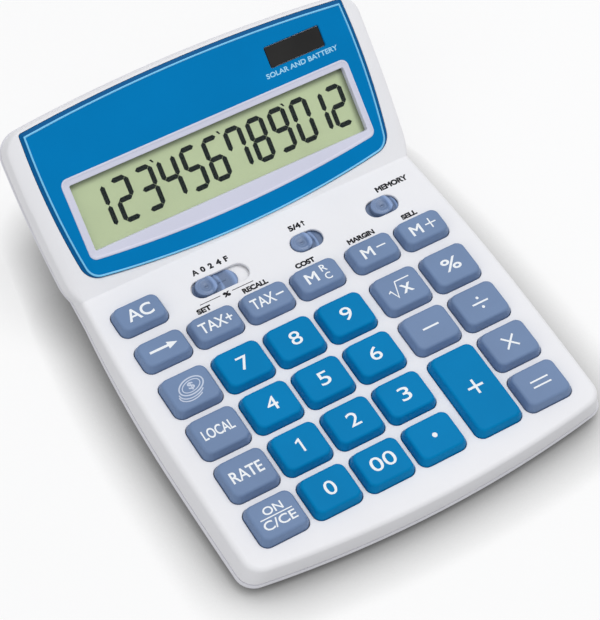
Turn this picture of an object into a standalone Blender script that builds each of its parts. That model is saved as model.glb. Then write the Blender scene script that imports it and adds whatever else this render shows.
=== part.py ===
"""Desktop calculator with thirty sprung keys, three slide switches and a raised display.

Lengths are in metres. The housing is drawn in a frame whose origin is the middle of the fold
line, where the key deck meets the display face: +X right, +Y back, +Z up. A run is a distance
along the bent top face from the fold, negative on the deck and positive on the display head.
A drop is a depth below that face, square to it. The whole model then stands on its feet with
the middle of its footprint at the world's origin.
"""

import math

import bmesh
import bpy
from mathutils import Vector

MM = 0.001

# Angles
DECK_TILT = math.radians(3.0)
DISPLAY_RISE = math.radians(38.0)
HEAD_TILT = DECK_TILT + DISPLAY_RISE
SMOOTH_BELOW = math.radians(32.0)

# Clearances
GAP = 0.3 * MM
OVERRUN = 2.0 * MM

# Key grid: four columns, a wider web, then two more; rows are counted from the display
COLUMN_WEB = 1.5 * MM
WIDE_COLUMN_WEB = 3.5 * MM
ROW_WEB = 2.2 * MM
FOLD_WEB = 8.35 * MM
SECOND_ROW_WEB = 4.15 * MM
THIRD_ROW_WEB = 4.1 * MM
APERTURE_WIDTH = 18.5 * MM
APERTURE_DEPTH = 15.8 * MM
SHORT_APERTURE_DEPTH = 11.9 * MM
APERTURE_RADIUS = 3.2 * MM

# Key
KEY_HEIGHT = 3.3 * MM
KEY_SHOULDER = 0.6 * MM
KEY_TAPER = 0.9 * MM
KEY_TRAVEL = 1.8 * MM
KEY_FLANGE = 0.4 * MM
KEY_FLANGE_THICKNESS = 0.8 * MM
KEY_WALL = 1.1 * MM
KEY_ROOF = 1.6 * MM
KEY_STEM = 3.6 * MM
KEY_STEM_RADIUS = 1.0 * MM
KEY_STEM_REACH = 0.7 * MM

# Upper case
WALL = 2.2 * MM
SIDE_MARGIN = 7.8 * MM
FRONT_MARGIN = 18.7 * MM
FRONT_BOW = 5.6 * MM
FRONT_RADIUS = 6.5 * MM
NECK_DRAW_IN = 2.9 * MM
FRONT_DRAW_IN = 0.4 * MM
LEAN_DEPTH = 10.5 * MM
SKIRT_LEAN = 2.4 * MM
NECK_LEAN = 0.5 * MM
FRONT_LEAN = 0.5 * MM
EDGE_RADIUS = 1.6 * MM
SKIRT_DEPTH = 8.0 * MM
HEAD_BORDER = 6.2 * MM
HEAD_TAPER = 2.2 * MM
NECK_RUN = 7.0 * MM
SHOULDER_DROP = 4.0 * MM
HEAD_CORNER_RADIUS = 8.5 * MM
CROWN = 1.0 * MM

# Display
LCD_WIDTH = 107.5 * MM
LCD_HEIGHT = 22.7 * MM
LCD_RUN = 14.1 * MM
BORDER_SIDE = 2.55 * MM
BORDER_END = 3.3 * MM
WINDOW_RADIUS = 3.0 * MM
WINDOW_PROUD = 0.5 * MM
WINDOW_THICKNESS = 0.8 * MM
WINDOW_EDGE = 0.3 * MM
FASCIA_SIDE = 6.8 * MM
FASCIA_BELOW = 9.5 * MM
FASCIA_ABOVE = 22.4 * MM
FASCIA_TOP_BOW = 3.1 * MM
FASCIA_FOOT_BOW = 4.7 * MM
FASCIA_FOOT_DRAW_IN = 4.0 * MM
FASCIA_TOP_DRAW_IN = 0.6 * MM
FASCIA_RADIUS = 6.5 * MM
FASCIA_TOP_RADIUS = 0.9 * MM
FASCIA_PROUD = 0.7 * MM
FASCIA_BEVEL = 0.6 * MM
FASCIA_LEDGE = 0.6 * MM
RECESS_DEPTH = 1.0 * MM
FRAME_LIP = 1.0 * MM
FRAME_WALL = 1.0 * MM
FRAME_FLANGE = 2.2 * MM
FRAME_FLANGE_THICKNESS = 0.8 * MM
LCD_GLASS = 2.0 * MM
STRIP_WIDTH = 2.4 * MM
STRIP_HEIGHT = 3.0 * MM
STRIP_MARGIN = 4.0 * MM
BOARD_THICKNESS = 1.2 * MM
BOARD_POST_RADIUS = 1.8 * MM
BOARD_CORNER = 1.5 * MM
SOLAR_WIDTH = 22.0 * MM
SOLAR_HEIGHT = 7.7 * MM
SOLAR_RADIUS = 0.6 * MM
SOLAR_SIDE_MARGIN = 11.9 * MM
SOLAR_END_MARGIN = 8.15 * MM
SOLAR_PROUD = 0.1 * MM

# Lower case
LIP_PROUD = 0.3 * MM
LIP_DEPTH = 1.4 * MM
LIP_ROUND = 0.8 * MM
LIP_TUCK = 1.2 * MM
TONGUE_RISE = 1.2 * MM
TONGUE_THICKNESS = 1.2 * MM
BASE_DEPTH = 12.0 * MM
BASE_INSET = 2.6 * MM
BASE_NECK_INSET = 4.6 * MM
BASE_REAR_INSET = 17.0 * MM
BASE_REAR_RUN = 50.0 * MM
BASE_REAR_BOW = 2.0 * MM
BASE_REAR_RADIUS = 8.0 * MM
FLOOR = 1.8 * MM
FOOT_HEIGHT = 1.2 * MM
FOOT_SEAT = 0.8 * MM
FOOT_RADIUS = 4.6 * MM
FOOT_INSET = 11.0 * MM
SUPPORT_RADIUS = 2.0 * MM
SUPPORT_X = 41.0 * MM
SUPPORT_INSET = 14.0 * MM

# Keypad and main board
SHEET = 0.8 * MM
CRUSHED_DOME = 0.5 * MM
DOME_RADIUS = 3.9 * MM
DOME_TOP_RADIUS = 2.5 * MM
BOARD_SIDE_MARGIN = 0.6 * MM
BOARD_END_MARGIN = 0.5 * MM
CHIP_RADIUS = 6.0 * MM
CHIP_HEIGHT = 1.2 * MM
CHIP_EDGE = 2.5 * MM
RIBBON_WIDTH = 24.0 * MM
RIBBON_THICKNESS = 0.4 * MM
RIBBON_LAP = 4.0 * MM
RIBBON_SLACK = 1.5 * MM

# Slide switches
SWITCH_WIDTH = 7.8 * MM
SWITCH_DISH = 1.3 * MM
SWITCH_DISH_SLOPE = 0.5 * MM
SWITCH_RIM = 0.9 * MM
LONG_SWITCH_MARGIN = 10.95 * MM
LONG_SWITCH_LENGTH = 21.8 * MM
LONG_TRAVEL = 12.0 * MM
SHORT_SWITCH_OFFSET = 5.7 * MM
SHORT_SWITCH_LENGTH = 12.2 * MM
SHORT_TRAVEL = 3.0 * MM
THUMB_HEIGHT = 1.5 * MM
THUMB_TAPER = 0.5 * MM
PLATE_THICKNESS = 0.8 * MM
PLATE_OVERLAP = 1.2 * MM
LONG_PLATE_REACH = 7.4 * MM
SHORT_PLATE_REACH = 2.6 * MM
RUNNER = 3.0 * MM

# Screws and their bosses
SCREW_RADIUS = 1.0 * MM
SCREW_HEAD_RADIUS = 1.9 * MM
SCREW_HEAD_HEIGHT = 1.2 * MM
SCREW_GRIP = 4.0 * MM
SCREW_TIP = 0.8 * MM
POST_WALL = 0.6 * MM
BOSS_WALL = 1.3 * MM
POST_ROOF = 1.4 * MM
FRONT_SCREW_X = 18.0 * MM
FRONT_SCREW_INSET = 7.0 * MM
FRONT_SEAM_DROP = 7.0 * MM
REAR_SCREW_X = 26.0 * MM
REAR_SCREW_INSET = 8.5 * MM
REAR_SEAM_RISE = 34.0 * MM

# Battery compartment
CELL_RADIUS = 5.8 * MM
CELL_HEIGHT = 5.4 * MM
CELL_EDGE = 0.5 * MM
CELL_OFFSET = 4.6 * MM
BATTERY_X = -24.0 * MM
BATTERY_Y = 21.0 * MM
DOOR_WIDTH = 27.0 * MM
DOOR_LENGTH = 17.0 * MM
DOOR_THICKNESS = 2.0 * MM
DOOR_RADIUS = 2.0 * MM
BATTERY_WALL = 1.4 * MM
DOOR_SCREW_INSET = 4.0 * MM
DOOR_SCREW_GRIP = 3.4 * MM
CONTACT = 0.4 * MM
CONTACT_WIDTH = 4.0 * MM
CONTACT_HEIGHT = 4.6 * MM

# Where an outline's points lie, as shares of its stretches
FRONT_SHARES = (0.0, 0.3, 0.58, 0.82)
DECK_SHARES = (0.85, 0.62, 0.4, 0.2)
HEAD_SHARES = (0.06, 0.14, 0.28, 0.48, 0.7)
BACK_SHARES = (0.78, 0.52, 0.26, 0.0)
FASCIA_SIDE_SHARES = (0.15, 0.35, 0.6, 0.85)
CHIP_SHARES = ((1.0, 0.0), (0.85, 0.6), (0.5, 1.0))
ARC_SHARE = 0.3
AT_LEFT_SHARE = 0.0
MIDWAY_SHARE = 0.5
BEVEL_SHARE = 0.45
SHOULDER_SHARE = 0.1
CEILING_SHARE = 0.3
WIDEST_SHARE = 0.58
HEAD_WIDEST_SHARE = 0.73
FASCIA_WIDEST_SHARE = 0.72
MOST_FILLET_SHARE = 0.9
MOST_CORNER_SHARE = 0.96

CORNER_STEPS = 3
KEY_CORNER_STEPS = 2
ROUND_STEPS = 12
FEW_STEPS = 8
BUTTON_STEPS = 6

CASE_WHITE = ("case_white", (0.83, 0.83, 0.86), 0.45, 0.0)
BASE_WHITE = ("base_white", (0.78, 0.78, 0.81), 0.5, 0.0)
FASCIA_BLUE = ("fascia_blue", (0.0, 0.19, 0.5), 0.35, 0.0)
KEY_BLUE = ("key_blue", (0.0, 0.21, 0.53), 0.4, 0.0)
KEY_GREY = ("key_grey", (0.17, 0.25, 0.43), 0.4, 0.0)
FRAME_GREY = ("frame_grey", (0.62, 0.62, 0.74), 0.4, 0.0)
CLEAR_PLASTIC = ("clear_plastic", (0.9, 0.95, 0.95), 0.08, 0.0)
LCD_GREEN = ("lcd_green", (0.46, 0.55, 0.34), 0.25, 0.0)
SOLAR_DARK = ("solar_dark", (0.03, 0.02, 0.03), 0.2, 0.0)
BOARD_GREEN = ("board_green", (0.03, 0.16, 0.07), 0.5, 0.0)
RESIN_BLACK = ("resin_black", (0.01, 0.01, 0.01), 0.4, 0.0)
CABLE_GREY = ("cable_grey", (0.5, 0.5, 0.52), 0.6, 0.0)
STRIP_PINK = ("strip_pink", (0.6, 0.3, 0.3), 0.8, 0.0)
SHEET_GREY = ("sheet_grey", (0.55, 0.55, 0.55), 0.85, 0.0)
FOOT_BLACK = ("foot_black", (0.02, 0.02, 0.02), 0.9, 0.0)
SCREW_STEEL = ("screw_steel", (0.6, 0.6, 0.6), 0.35, 1.0)
SPRING_STEEL = ("spring_steel", (0.7, 0.68, 0.62), 0.3, 1.0)
CELL_STEEL = ("cell_steel", (0.75, 0.75, 0.75), 0.25, 1.0)

FULL, SHORT, TALL = "full", "short", "tall"
KEYS = (
    ("key_all_clear", 0, 1, SHORT, KEY_GREY),
    ("key_backspace", 0, 2, SHORT, KEY_GREY),
    ("key_currency", 0, 3, FULL, KEY_GREY),
    ("key_local", 0, 4, FULL, KEY_GREY),
    ("key_rate", 0, 5, FULL, KEY_GREY),
    ("key_on_clear", 0, 6, FULL, KEY_GREY),
    ("key_tax_plus", 1, 2, SHORT, KEY_GREY),
    ("key_7", 1, 3, FULL, KEY_BLUE),
    ("key_4", 1, 4, FULL, KEY_BLUE),
    ("key_1", 1, 5, FULL, KEY_BLUE),
    ("key_0", 1, 6, FULL, KEY_BLUE),
    ("key_tax_minus", 2, 2, SHORT, KEY_GREY),
    ("key_8", 2, 3, FULL, KEY_BLUE),
    ("key_5", 2, 4, FULL, KEY_BLUE),
    ("key_2", 2, 5, FULL, KEY_BLUE),
    ("key_00", 2, 6, FULL, KEY_BLUE),
    ("key_memory_recall", 3, 2, SHORT, KEY_GREY),
    ("key_9", 3, 3, FULL, KEY_BLUE),
    ("key_6", 3, 4, FULL, KEY_BLUE),
    ("key_3", 3, 5, FULL, KEY_BLUE),
    ("key_point", 3, 6, FULL, KEY_BLUE),
    ("key_memory_minus", 4, 2, SHORT, KEY_GREY),
    ("key_root", 4, 3, FULL, KEY_GREY),
    ("key_minus", 4, 4, FULL, KEY_GREY),
    ("key_plus", 4, 5.5, TALL, KEY_BLUE),
    ("key_memory_plus", 5, 2, SHORT, KEY_GREY),
    ("key_percent", 5, 3, FULL, KEY_GREY),
    ("key_divide", 5, 4, FULL, KEY_GREY),
    ("key_multiply", 5, 5, FULL, KEY_GREY),
    ("key_equals", 5, 6, FULL, KEY_GREY),
)


# Sizes worked out from the ones above

COLUMN_PITCH = APERTURE_WIDTH + COLUMN_WEB
WIDE_COLUMN_PITCH = APERTURE_WIDTH + WIDE_COLUMN_WEB
ROW_PITCH = APERTURE_DEPTH + ROW_WEB
FIRST_ROW_RUN = FOLD_WEB + SHORT_APERTURE_DEPTH / 2
SECOND_ROW_STEP = SHORT_APERTURE_DEPTH + SECOND_ROW_WEB
THIRD_ROW_STEP = (SHORT_APERTURE_DEPTH + APERTURE_DEPTH) / 2 + THIRD_ROW_WEB


def column_x(column):
    """Middle of a key column; the grid is centred on the case."""
    last = 4 * COLUMN_PITCH + WIDE_COLUMN_PITCH
    wide = WIDE_COLUMN_PITCH - COLUMN_PITCH if column > 3 else 0
    return column * COLUMN_PITCH + wide - last / 2


def row_run(row):
    """Run of a key row's middle; rows 1 and 2 are the shallow ones by the display."""
    if row == 1:
        return -FIRST_ROW_RUN
    second = FIRST_ROW_RUN + SECOND_ROW_STEP
    return -second if row == 2 else -(second + THIRD_ROW_STEP + (row - 3) * ROW_PITCH)


def aperture_depth(size):
    return {FULL: APERTURE_DEPTH, SHORT: SHORT_APERTURE_DEPTH, TALL: APERTURE_DEPTH + ROW_PITCH}[size]


KEY_BLOCK_HALF = column_x(5) + APERTURE_WIDTH / 2
LONG_SWITCH_X = LONG_SWITCH_MARGIN + LONG_SWITCH_LENGTH / 2 - column_x(5) + APERTURE_WIDTH / 2
MIDDLE_SWITCH_X = column_x(3) + SHORT_SWITCH_OFFSET
RIGHT_SWITCH_X = column_x(5) - SHORT_SWITCH_OFFSET
DECK_HALF = KEY_BLOCK_HALF + SIDE_MARGIN
DECK_RUN = FRONT_MARGIN - row_run(6)
BORDER_HALF = LCD_WIDTH / 2 + BORDER_SIDE
BORDER_FOOT = LCD_RUN - BORDER_END
BORDER_TOP = LCD_RUN + LCD_HEIGHT + BORDER_END
FASCIA_HALF = BORDER_HALF + FASCIA_SIDE
FASCIA_FOOT = BORDER_FOOT - FASCIA_BELOW
FASCIA_TOP = BORDER_TOP + FASCIA_ABOVE
SOLAR_X = FASCIA_HALF - SOLAR_SIDE_MARGIN - SOLAR_WIDTH / 2
SOLAR_RUN = FASCIA_TOP - SOLAR_END_MARGIN - SOLAR_HEIGHT / 2
HEAD_HALF = FASCIA_HALF + HEAD_BORDER
FLAT_HALF = FASCIA_HALF + FASCIA_LEDGE
FLAT_RUN = FASCIA_TOP + FASCIA_LEDGE / 2
HEAD_RUN = FLAT_RUN + CROWN
NECK_HALF = DECK_HALF - NECK_DRAW_IN
FLOOR_Z = -DECK_RUN * math.sin(DECK_TILT) - BASE_DEPTH * math.cos(DECK_TILT)
GROUND_Z = FLOOR_Z - FOOT_HEIGHT
LIP_DROP = SKIRT_DEPTH + GAP
KEY_FLANGE_DROP = WALL + GAP
STEM_DROP = KEY_FLANGE_DROP + KEY_FLANGE_THICKNESS + KEY_STEM_REACH
DOME_DROP = STEM_DROP + GAP
SHEET_DROP = DOME_DROP + KEY_TRAVEL - GAP + CRUSHED_DOME
MAIN_BOARD_DROP = SHEET_DROP + SHEET + GAP
MAIN_BOARD_FOOT = MAIN_BOARD_DROP + BOARD_THICKNESS
MAIN_BOARD_HALF = KEY_BLOCK_HALF + BOARD_SIDE_MARGIN
MAIN_BOARD_FRONT = row_run(6) - APERTURE_DEPTH / 2 - BOARD_END_MARGIN
MAIN_BOARD_BACK = row_run(1) + SHORT_APERTURE_DEPTH / 2 + BOARD_END_MARGIN
FRAME_DROP = WINDOW_THICKNESS - WINDOW_PROUD + GAP
FRAME_FLANGE_DROP = WALL + GAP
FRAME_FOOT = FRAME_FLANGE_DROP + FRAME_FLANGE_THICKNESS
LCD_DROP = FRAME_DROP + FRAME_LIP + GAP
STRIP_DROP = LCD_DROP + LCD_GLASS + GAP
DISPLAY_BOARD_DROP = STRIP_DROP + STRIP_HEIGHT + GAP
BOARD_POST_X = BORDER_HALF + FRAME_FLANGE + GAP + BOARD_POST_RADIUS
POST_RADIUS = SCREW_HEAD_RADIUS + GAP + POST_WALL
BOSS_RADIUS = SCREW_RADIUS + GAP + BOSS_WALL
CELL_Z = FLOOR_Z + DOOR_THICKNESS + GAP
CELL_TOP_Z = CELL_Z + CELL_HEIGHT
BATTERY_ROOF_Z = CELL_TOP_Z + CONTACT + 2 * GAP
CELL_X = BATTERY_X - CELL_OFFSET
CELL_POCKET_RADIUS = CELL_RADIUS + 2 * GAP + CONTACT
DOOR_SCREW_X = BATTERY_X + DOOR_WIDTH / 2 - DOOR_SCREW_INSET


# Small helpers

def material(name, colour, roughness, metallic):
    found = bpy.data.materials.get(name)
    if found:
        return found
    made = bpy.data.materials.new(name)
    made.use_nodes = True
    shader = made.node_tree.nodes["Principled BSDF"]
    shader.inputs["Base Color"].default_value = (*colour, 1.0)
    shader.inputs["Roughness"].default_value = roughness
    shader.inputs["Metallic"].default_value = metallic
    made.diffuse_color = (*colour, 1.0)
    return made


def finish_mesh(form, name):
    bmesh.ops.recalc_face_normals(form, faces=form.faces)
    mesh = bpy.data.meshes.new(name)
    form.to_mesh(mesh)
    form.free()
    mesh.shade_smooth()
    mesh.set_sharp_from_angle(angle=SMOOTH_BELOW)
    return mesh


def place(name, mesh, parent, finish=None, location=(0, 0, 0), rotation=(0, 0, 0)):
    made = bpy.data.objects.new(name, mesh)
    bpy.context.scene.collection.objects.link(made)
    made.parent = parent
    made.location = location
    made.rotation_euler = rotation
    if finish and not mesh.materials:
        mesh.materials.append(material(*finish))
    return made


def boolean(body, tool, operation="DIFFERENCE"):
    """Adds a live Boolean; its tool stays as a wire guide."""
    step = body.modifiers.new(tool.name, "BOOLEAN")
    step.operation = operation
    step.solver = "EXACT"
    step.object = tool
    tool.hide_render = True
    tool.display_type = "WIRE"


def loft(name, rings, split=None):
    """Closed solid through rings of equal point count. A split folds both end faces at that point."""
    form = bmesh.new()
    rows = [[form.verts.new(point) for point in ring] for ring in rings]
    count = len(rings[0])
    for lower, upper in zip(rows, rows[1:]):
        for i in range(count):
            j = (i + 1) % count
            form.faces.new((lower[i], lower[j], upper[j], upper[i]))
    for row in (rows[0], rows[-1]):
        if split:
            form.faces.new(row[count - split:] + row[:split + 1])
            form.faces.new(row[split:count - split + 1])
        else:
            form.faces.new(row)
    return finish_mesh(form, name)


def rounded_rectangle(width, depth, radius, z, centre=(0, 0), steps=CORNER_STEPS):
    """Ring of points, counter-clockwise from above."""
    radius = min(radius, MOST_CORNER_SHARE * min(width, depth) / 2)
    ring = []
    for quarter, (side, end) in enumerate(((1, 1), (-1, 1), (-1, -1), (1, -1))):
        for i in range(steps + 1):
            angle = (quarter + i / steps) * math.pi / 2
            x = centre[0] + side * (width / 2 - radius) + radius * math.cos(angle)
            y = centre[1] + end * (depth / 2 - radius) + radius * math.sin(angle)
            ring.append(Vector((x, y, z)))
    return ring


def rounded_plate(name, width, depth, radius, low, high, centre=(0, 0), edge=0):
    """Flat plate with rounded corners; its upper rim may be chamfered by edge."""
    rings = [
        rounded_rectangle(width, depth, radius, low, centre),
        rounded_rectangle(width, depth, radius, high - edge, centre),
    ]
    if edge:
        rings.append(rounded_rectangle(width - 2 * edge, depth - 2 * edge, radius - edge, high, centre))
    return loft(name, rings)


def circle(radius, z, centre=(0, 0), steps=ROUND_STEPS):
    turn = 2 * math.pi / steps
    return [
        Vector((centre[0] + radius * math.cos(i * turn), centre[1] + radius * math.sin(i * turn), z))
        for i in range(steps)
    ]


def turned(name, profile, centre=(0, 0), steps=ROUND_STEPS):
    """Round solid from (radius, z) pairs."""
    return loft(name, [circle(radius, z, centre, steps) for radius, z in profile])


def box(name, low, high):
    x0, y0, z0 = low
    x1, y1, z1 = high
    corners = ((x0, y0), (x1, y0), (x1, y1), (x0, y1))
    return loft(name, [[Vector((x, y, z)) for x, y in corners] for z in (z0, z1)])


def joined(name, meshes):
    """One mesh from several that stay clear of each other, for use as a Boolean's tool."""
    form = bmesh.new()
    for mesh in meshes:
        form.from_mesh(mesh)
        bpy.data.meshes.remove(mesh)
    return finish_mesh(form, name)


# The bent top face and its outlines

def bent(x, run, drop):
    """Point below the top face. On the fold itself the two sunk planes meet on the mitre."""
    if run == 0:
        middle = DECK_TILT + DISPLAY_RISE / 2
        reach = drop / math.cos(DISPLAY_RISE / 2)
        return Vector((x, reach * math.sin(middle), -reach * math.cos(middle)))
    tilt = HEAD_TILT if run > 0 else DECK_TILT
    y = run * math.cos(tilt) + drop * math.sin(tilt)
    return Vector((x, y, run * math.sin(tilt) - drop * math.cos(tilt)))


def swell(run, widest, front, neck):
    """Deck half width, widest part way along and drawn in towards both ends."""
    peak = -DECK_RUN * WIDEST_SHARE
    if run < peak:
        return widest - (widest - front) * ((peak - run) / (DECK_RUN + peak)) ** 2
    return widest - (widest - neck) * ((run - peak) / -peak) ** 2


def deck_edge(run, drop):
    """Deck half width; the side wall leans out as it goes down."""
    top = swell(run, DECK_HALF, DECK_HALF - FRONT_DRAW_IN, NECK_HALF)
    widest = DECK_HALF + SKIRT_LEAN
    foot = swell(run, widest, widest - FRONT_DRAW_IN, NECK_HALF + NECK_LEAN)
    return top + (foot - top) * drop / LEAN_DEPTH


def head_edge(run):
    """Head half width: quickly out from the neck, then slowly to its widest."""
    peak = HEAD_RUN * HEAD_WIDEST_SHARE
    flare = HEAD_HALF - HEAD_TAPER - NECK_HALF - NECK_LEAN
    taper = HEAD_TAPER * (max(0, peak - run) / peak) ** 2
    return HEAD_HALF - taper - flare * max(0, 1 - run / NECK_RUN) ** 2


def fillet(before, corner, after, radius, steps=CORNER_STEPS):
    """Arc that rounds a corner, no longer than the straight stretches beside it allow."""
    back = before - corner
    on = after - corner
    half_angle = back.angle(on) / 2
    room = MOST_FILLET_SHARE * min(back.length, on.length)
    reach = min(radius / math.tan(half_angle), room)
    radius = reach * math.tan(half_angle)
    centre = corner + (back.normalized() + on.normalized()).normalized() * radius / math.sin(half_angle)
    start = corner + back.normalized() * reach - centre
    end = corner + on.normalized() * reach - centre
    return [centre + start.slerp(end, i / steps).normalized() * radius for i in range(steps + 1)]


def half_outline(deck_half, head_half, front, back, front_bow, back_bow, front_radius, back_radius):
    """Right half of an outline as (x, run), from front centre to back centre.

    The half widths are functions of the run. Each bow is given at the deck's or the fascia's half width.
    """
    def front_run(x):
        return front + front_bow * (x / DECK_HALF) ** 2

    def back_run(x):
        return back - back_bow * (x / FASCIA_HALF) ** 2

    front_x = deck_half(front_run(deck_half(front)))
    back_x = head_half(back_run(head_half(back)))
    front_corner = Vector((front_x, front_run(front_x)))
    back_corner = Vector((back_x, back_run(back_x)))
    bow = [Vector((front_x * s, front_run(front_x * s))) for s in FRONT_SHARES]
    deck = [Vector((deck_half(front_corner.y * s), front_corner.y * s)) for s in DECK_SHARES]
    fold = [Vector((deck_half(0), 0))]
    head = [Vector((head_half(back_corner.y * s), back_corner.y * s)) for s in HEAD_SHARES]
    crown = [Vector((back_x * s, back_run(back_x * s))) for s in BACK_SHARES]
    first = fillet(bow[-1], front_corner, deck[0], front_radius)
    second = fillet(head[-1], back_corner, crown[0], back_radius)
    return bow + first + deck + fold + head + second + crown


FOLD_POINT = len(FRONT_SHARES) + CORNER_STEPS + 1 + len(DECK_SHARES)


def both_halves(half):
    """Closed ring from its right half."""
    return half + [Vector((-point.x, *point[1:])) for point in reversed(half[1:-1])]


def skin_ring(drop, inset, head_drop=None, head_inset=None, flat_share=0):
    """Ring of the housing's skin. The flat share runs from the head's skirt (0) to its flat face (1)."""
    head_drop = drop if head_drop is None else head_drop
    head_inset = inset if head_inset is None else head_inset
    half = half_outline(
        lambda run: deck_edge(run, drop) - inset,
        lambda run: head_edge(run) - (head_edge(run) - FLAT_HALF) * flat_share - head_inset,
        inset - DECK_RUN - FRONT_LEAN * drop / LEAN_DEPTH,
        FLAT_RUN + CROWN * (1 - flat_share) - head_inset,
        FRONT_BOW,
        FASCIA_TOP_BOW,
        FRONT_RADIUS - inset,
        max(HEAD_CORNER_RADIUS * (1 - flat_share) - head_inset, FASCIA_TOP_RADIUS),
    )
    points = []
    for x, run in half:
        blend = min(1, max(0, run) / NECK_RUN)
        points.append(bent(x, run, drop + (head_drop - drop) * blend))
    return both_halves(points)


def floor_half(run):
    """Half width of the base, drawn in under the display head so that the head overhangs it."""
    def deck_half(place_run):
        nearness = 1 + place_run / DECK_RUN
        return deck_edge(place_run, SKIRT_DEPTH) - BASE_INSET - (BASE_NECK_INSET - BASE_INSET) * nearness

    if run <= 0:
        return deck_half(run)
    rear = HEAD_HALF - BASE_REAR_INSET
    return deck_half(0) + (rear - deck_half(0)) * run / BASE_REAR_RUN


def floor_ring(inset, z):
    half = half_outline(
        lambda run: floor_half(run) - inset,
        lambda run: floor_half(run) - inset,
        inset + BASE_INSET - DECK_RUN,
        BASE_REAR_RUN - inset,
        FRONT_BOW,
        BASE_REAR_BOW,
        FRONT_RADIUS - inset,
        BASE_REAR_RADIUS - inset,
    )
    return both_halves([Vector((x, y, z)) for x, y in half])


def lip_rings():
    """Outer face of the lower case's lip, which stands just proud of the skirt above it."""
    return [skin_ring(LIP_DROP, -LIP_PROUD), skin_ring(LIP_DROP + LIP_DEPTH, -LIP_PROUD)]


def case_screws():
    """(name, x, y, seam z) of each case screw; the lower post ends at the seam, the boss just above."""
    front = bent(0, FRONT_SCREW_INSET - DECK_RUN, FRONT_SEAM_DROP)
    rear_y = BASE_REAR_RUN - REAR_SCREW_INSET
    rear_z = FLOOR_Z + REAR_SEAM_RISE
    return [
        ("screw_front_left", -FRONT_SCREW_X, front.y, front.z),
        ("screw_front_right", FRONT_SCREW_X, front.y, front.z),
        ("screw_rear_left", -REAR_SCREW_X, rear_y, rear_z),
        ("screw_rear_right", REAR_SCREW_X, rear_y, rear_z),
    ]


def ceiling_z(y, drop):
    """Height of a plane sunk by drop below the deck or the display face, above a point of the floor."""
    tilt = HEAD_TILT if y > 0 else DECK_TILT
    return y * math.tan(tilt) - drop / math.cos(tilt)


# Housing

def upper_case(frames):
    rings = [
        skin_ring(0, EDGE_RADIUS, 0, 0, flat_share=1),
        skin_ring(EDGE_RADIUS * ARC_SHARE, EDGE_RADIUS * ARC_SHARE, SHOULDER_DROP / 5, 0, BEVEL_SHARE),
        skin_ring(EDGE_RADIUS, 0, SHOULDER_DROP / 2, 0, SHOULDER_SHARE),
        skin_ring(SHOULDER_DROP, 0),
        skin_ring(SKIRT_DEPTH, 0),
        skin_ring(SKIRT_DEPTH, WALL),
        skin_ring(WALL, WALL, flat_share=CEILING_SHARE),
    ]
    body = place("upper_case", loft("upper_case", rings, split=FOLD_POINT), frames["case"], CASE_WHITE)
    boolean(body, place("screw_bosses", screw_bosses(), frames["case"]), "UNION")
    boolean(body, place("board_posts", board_posts(), frames["head"]), "UNION")
    boolean(body, place("cut_boss_bores", boss_bores(), frames["case"]))
    boolean(body, place("cut_keys", key_cutters(), frames["deck"]))
    boolean(body, place("cut_switch_dishes", switch_dishes(), frames["deck"]))
    boolean(body, place("cut_switch_slots", switch_slots(), frames["deck"]))
    boolean(body, place("cut_fascia_recess", fascia_recess(), frames["head"]))
    boolean(body, place("cut_window", window_solid("cut_window", 0, -WALL - OVERRUN, 0), frames["head"]))


def screw_bosses():
    """Bosses that hang from the ceiling; each ends inside the wall above it."""
    made = []
    for name, x, y, seam in case_screws():
        top = ceiling_z(y, WALL / 2) - BOSS_RADIUS * math.tan(HEAD_TILT if y > 0 else DECK_TILT)
        made.append(turned(name, ((BOSS_RADIUS, seam + GAP), (BOSS_RADIUS, top)), (x, y)))
    return joined("screw_bosses", made)


def boss_bores():
    made = []
    radius = SCREW_RADIUS + GAP
    for name, x, y, seam in case_screws():
        profile = ((radius, seam - OVERRUN), (radius, seam + SCREW_GRIP + 2 * GAP))
        made.append(turned(name, profile, (x, y), FEW_STEPS))
    return joined("cut_boss_bores", made)


def board_posts():
    """Four posts under the display face, which end just above the display board."""
    high = -(RECESS_DEPTH + WALL) / 2
    low = GAP - DISPLAY_BOARD_DROP
    profile = ((BOARD_POST_RADIUS, low), (BOARD_POST_RADIUS, high))
    runs = (BORDER_FOOT + BOARD_POST_RADIUS + BOARD_CORNER, BORDER_TOP - BOARD_POST_RADIUS - BOARD_CORNER)
    return joined("board_posts", [
        turned("board_post", profile, (side * BOARD_POST_X, run), FEW_STEPS)
        for side in (-1, 1)
        for run in runs
    ])


def key_cutters():
    made = []
    for name, column, row, size, _ in KEYS:
        centre = (column_x(column), row_run(row))
        depth = aperture_depth(size)
        made.append(loft(name, [
            rounded_rectangle(APERTURE_WIDTH, depth, APERTURE_RADIUS, z, centre, KEY_CORNER_STEPS)
            for z in (-WALL - OVERRUN, OVERRUN)
        ]))
    return joined("cut_keys", made)


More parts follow.
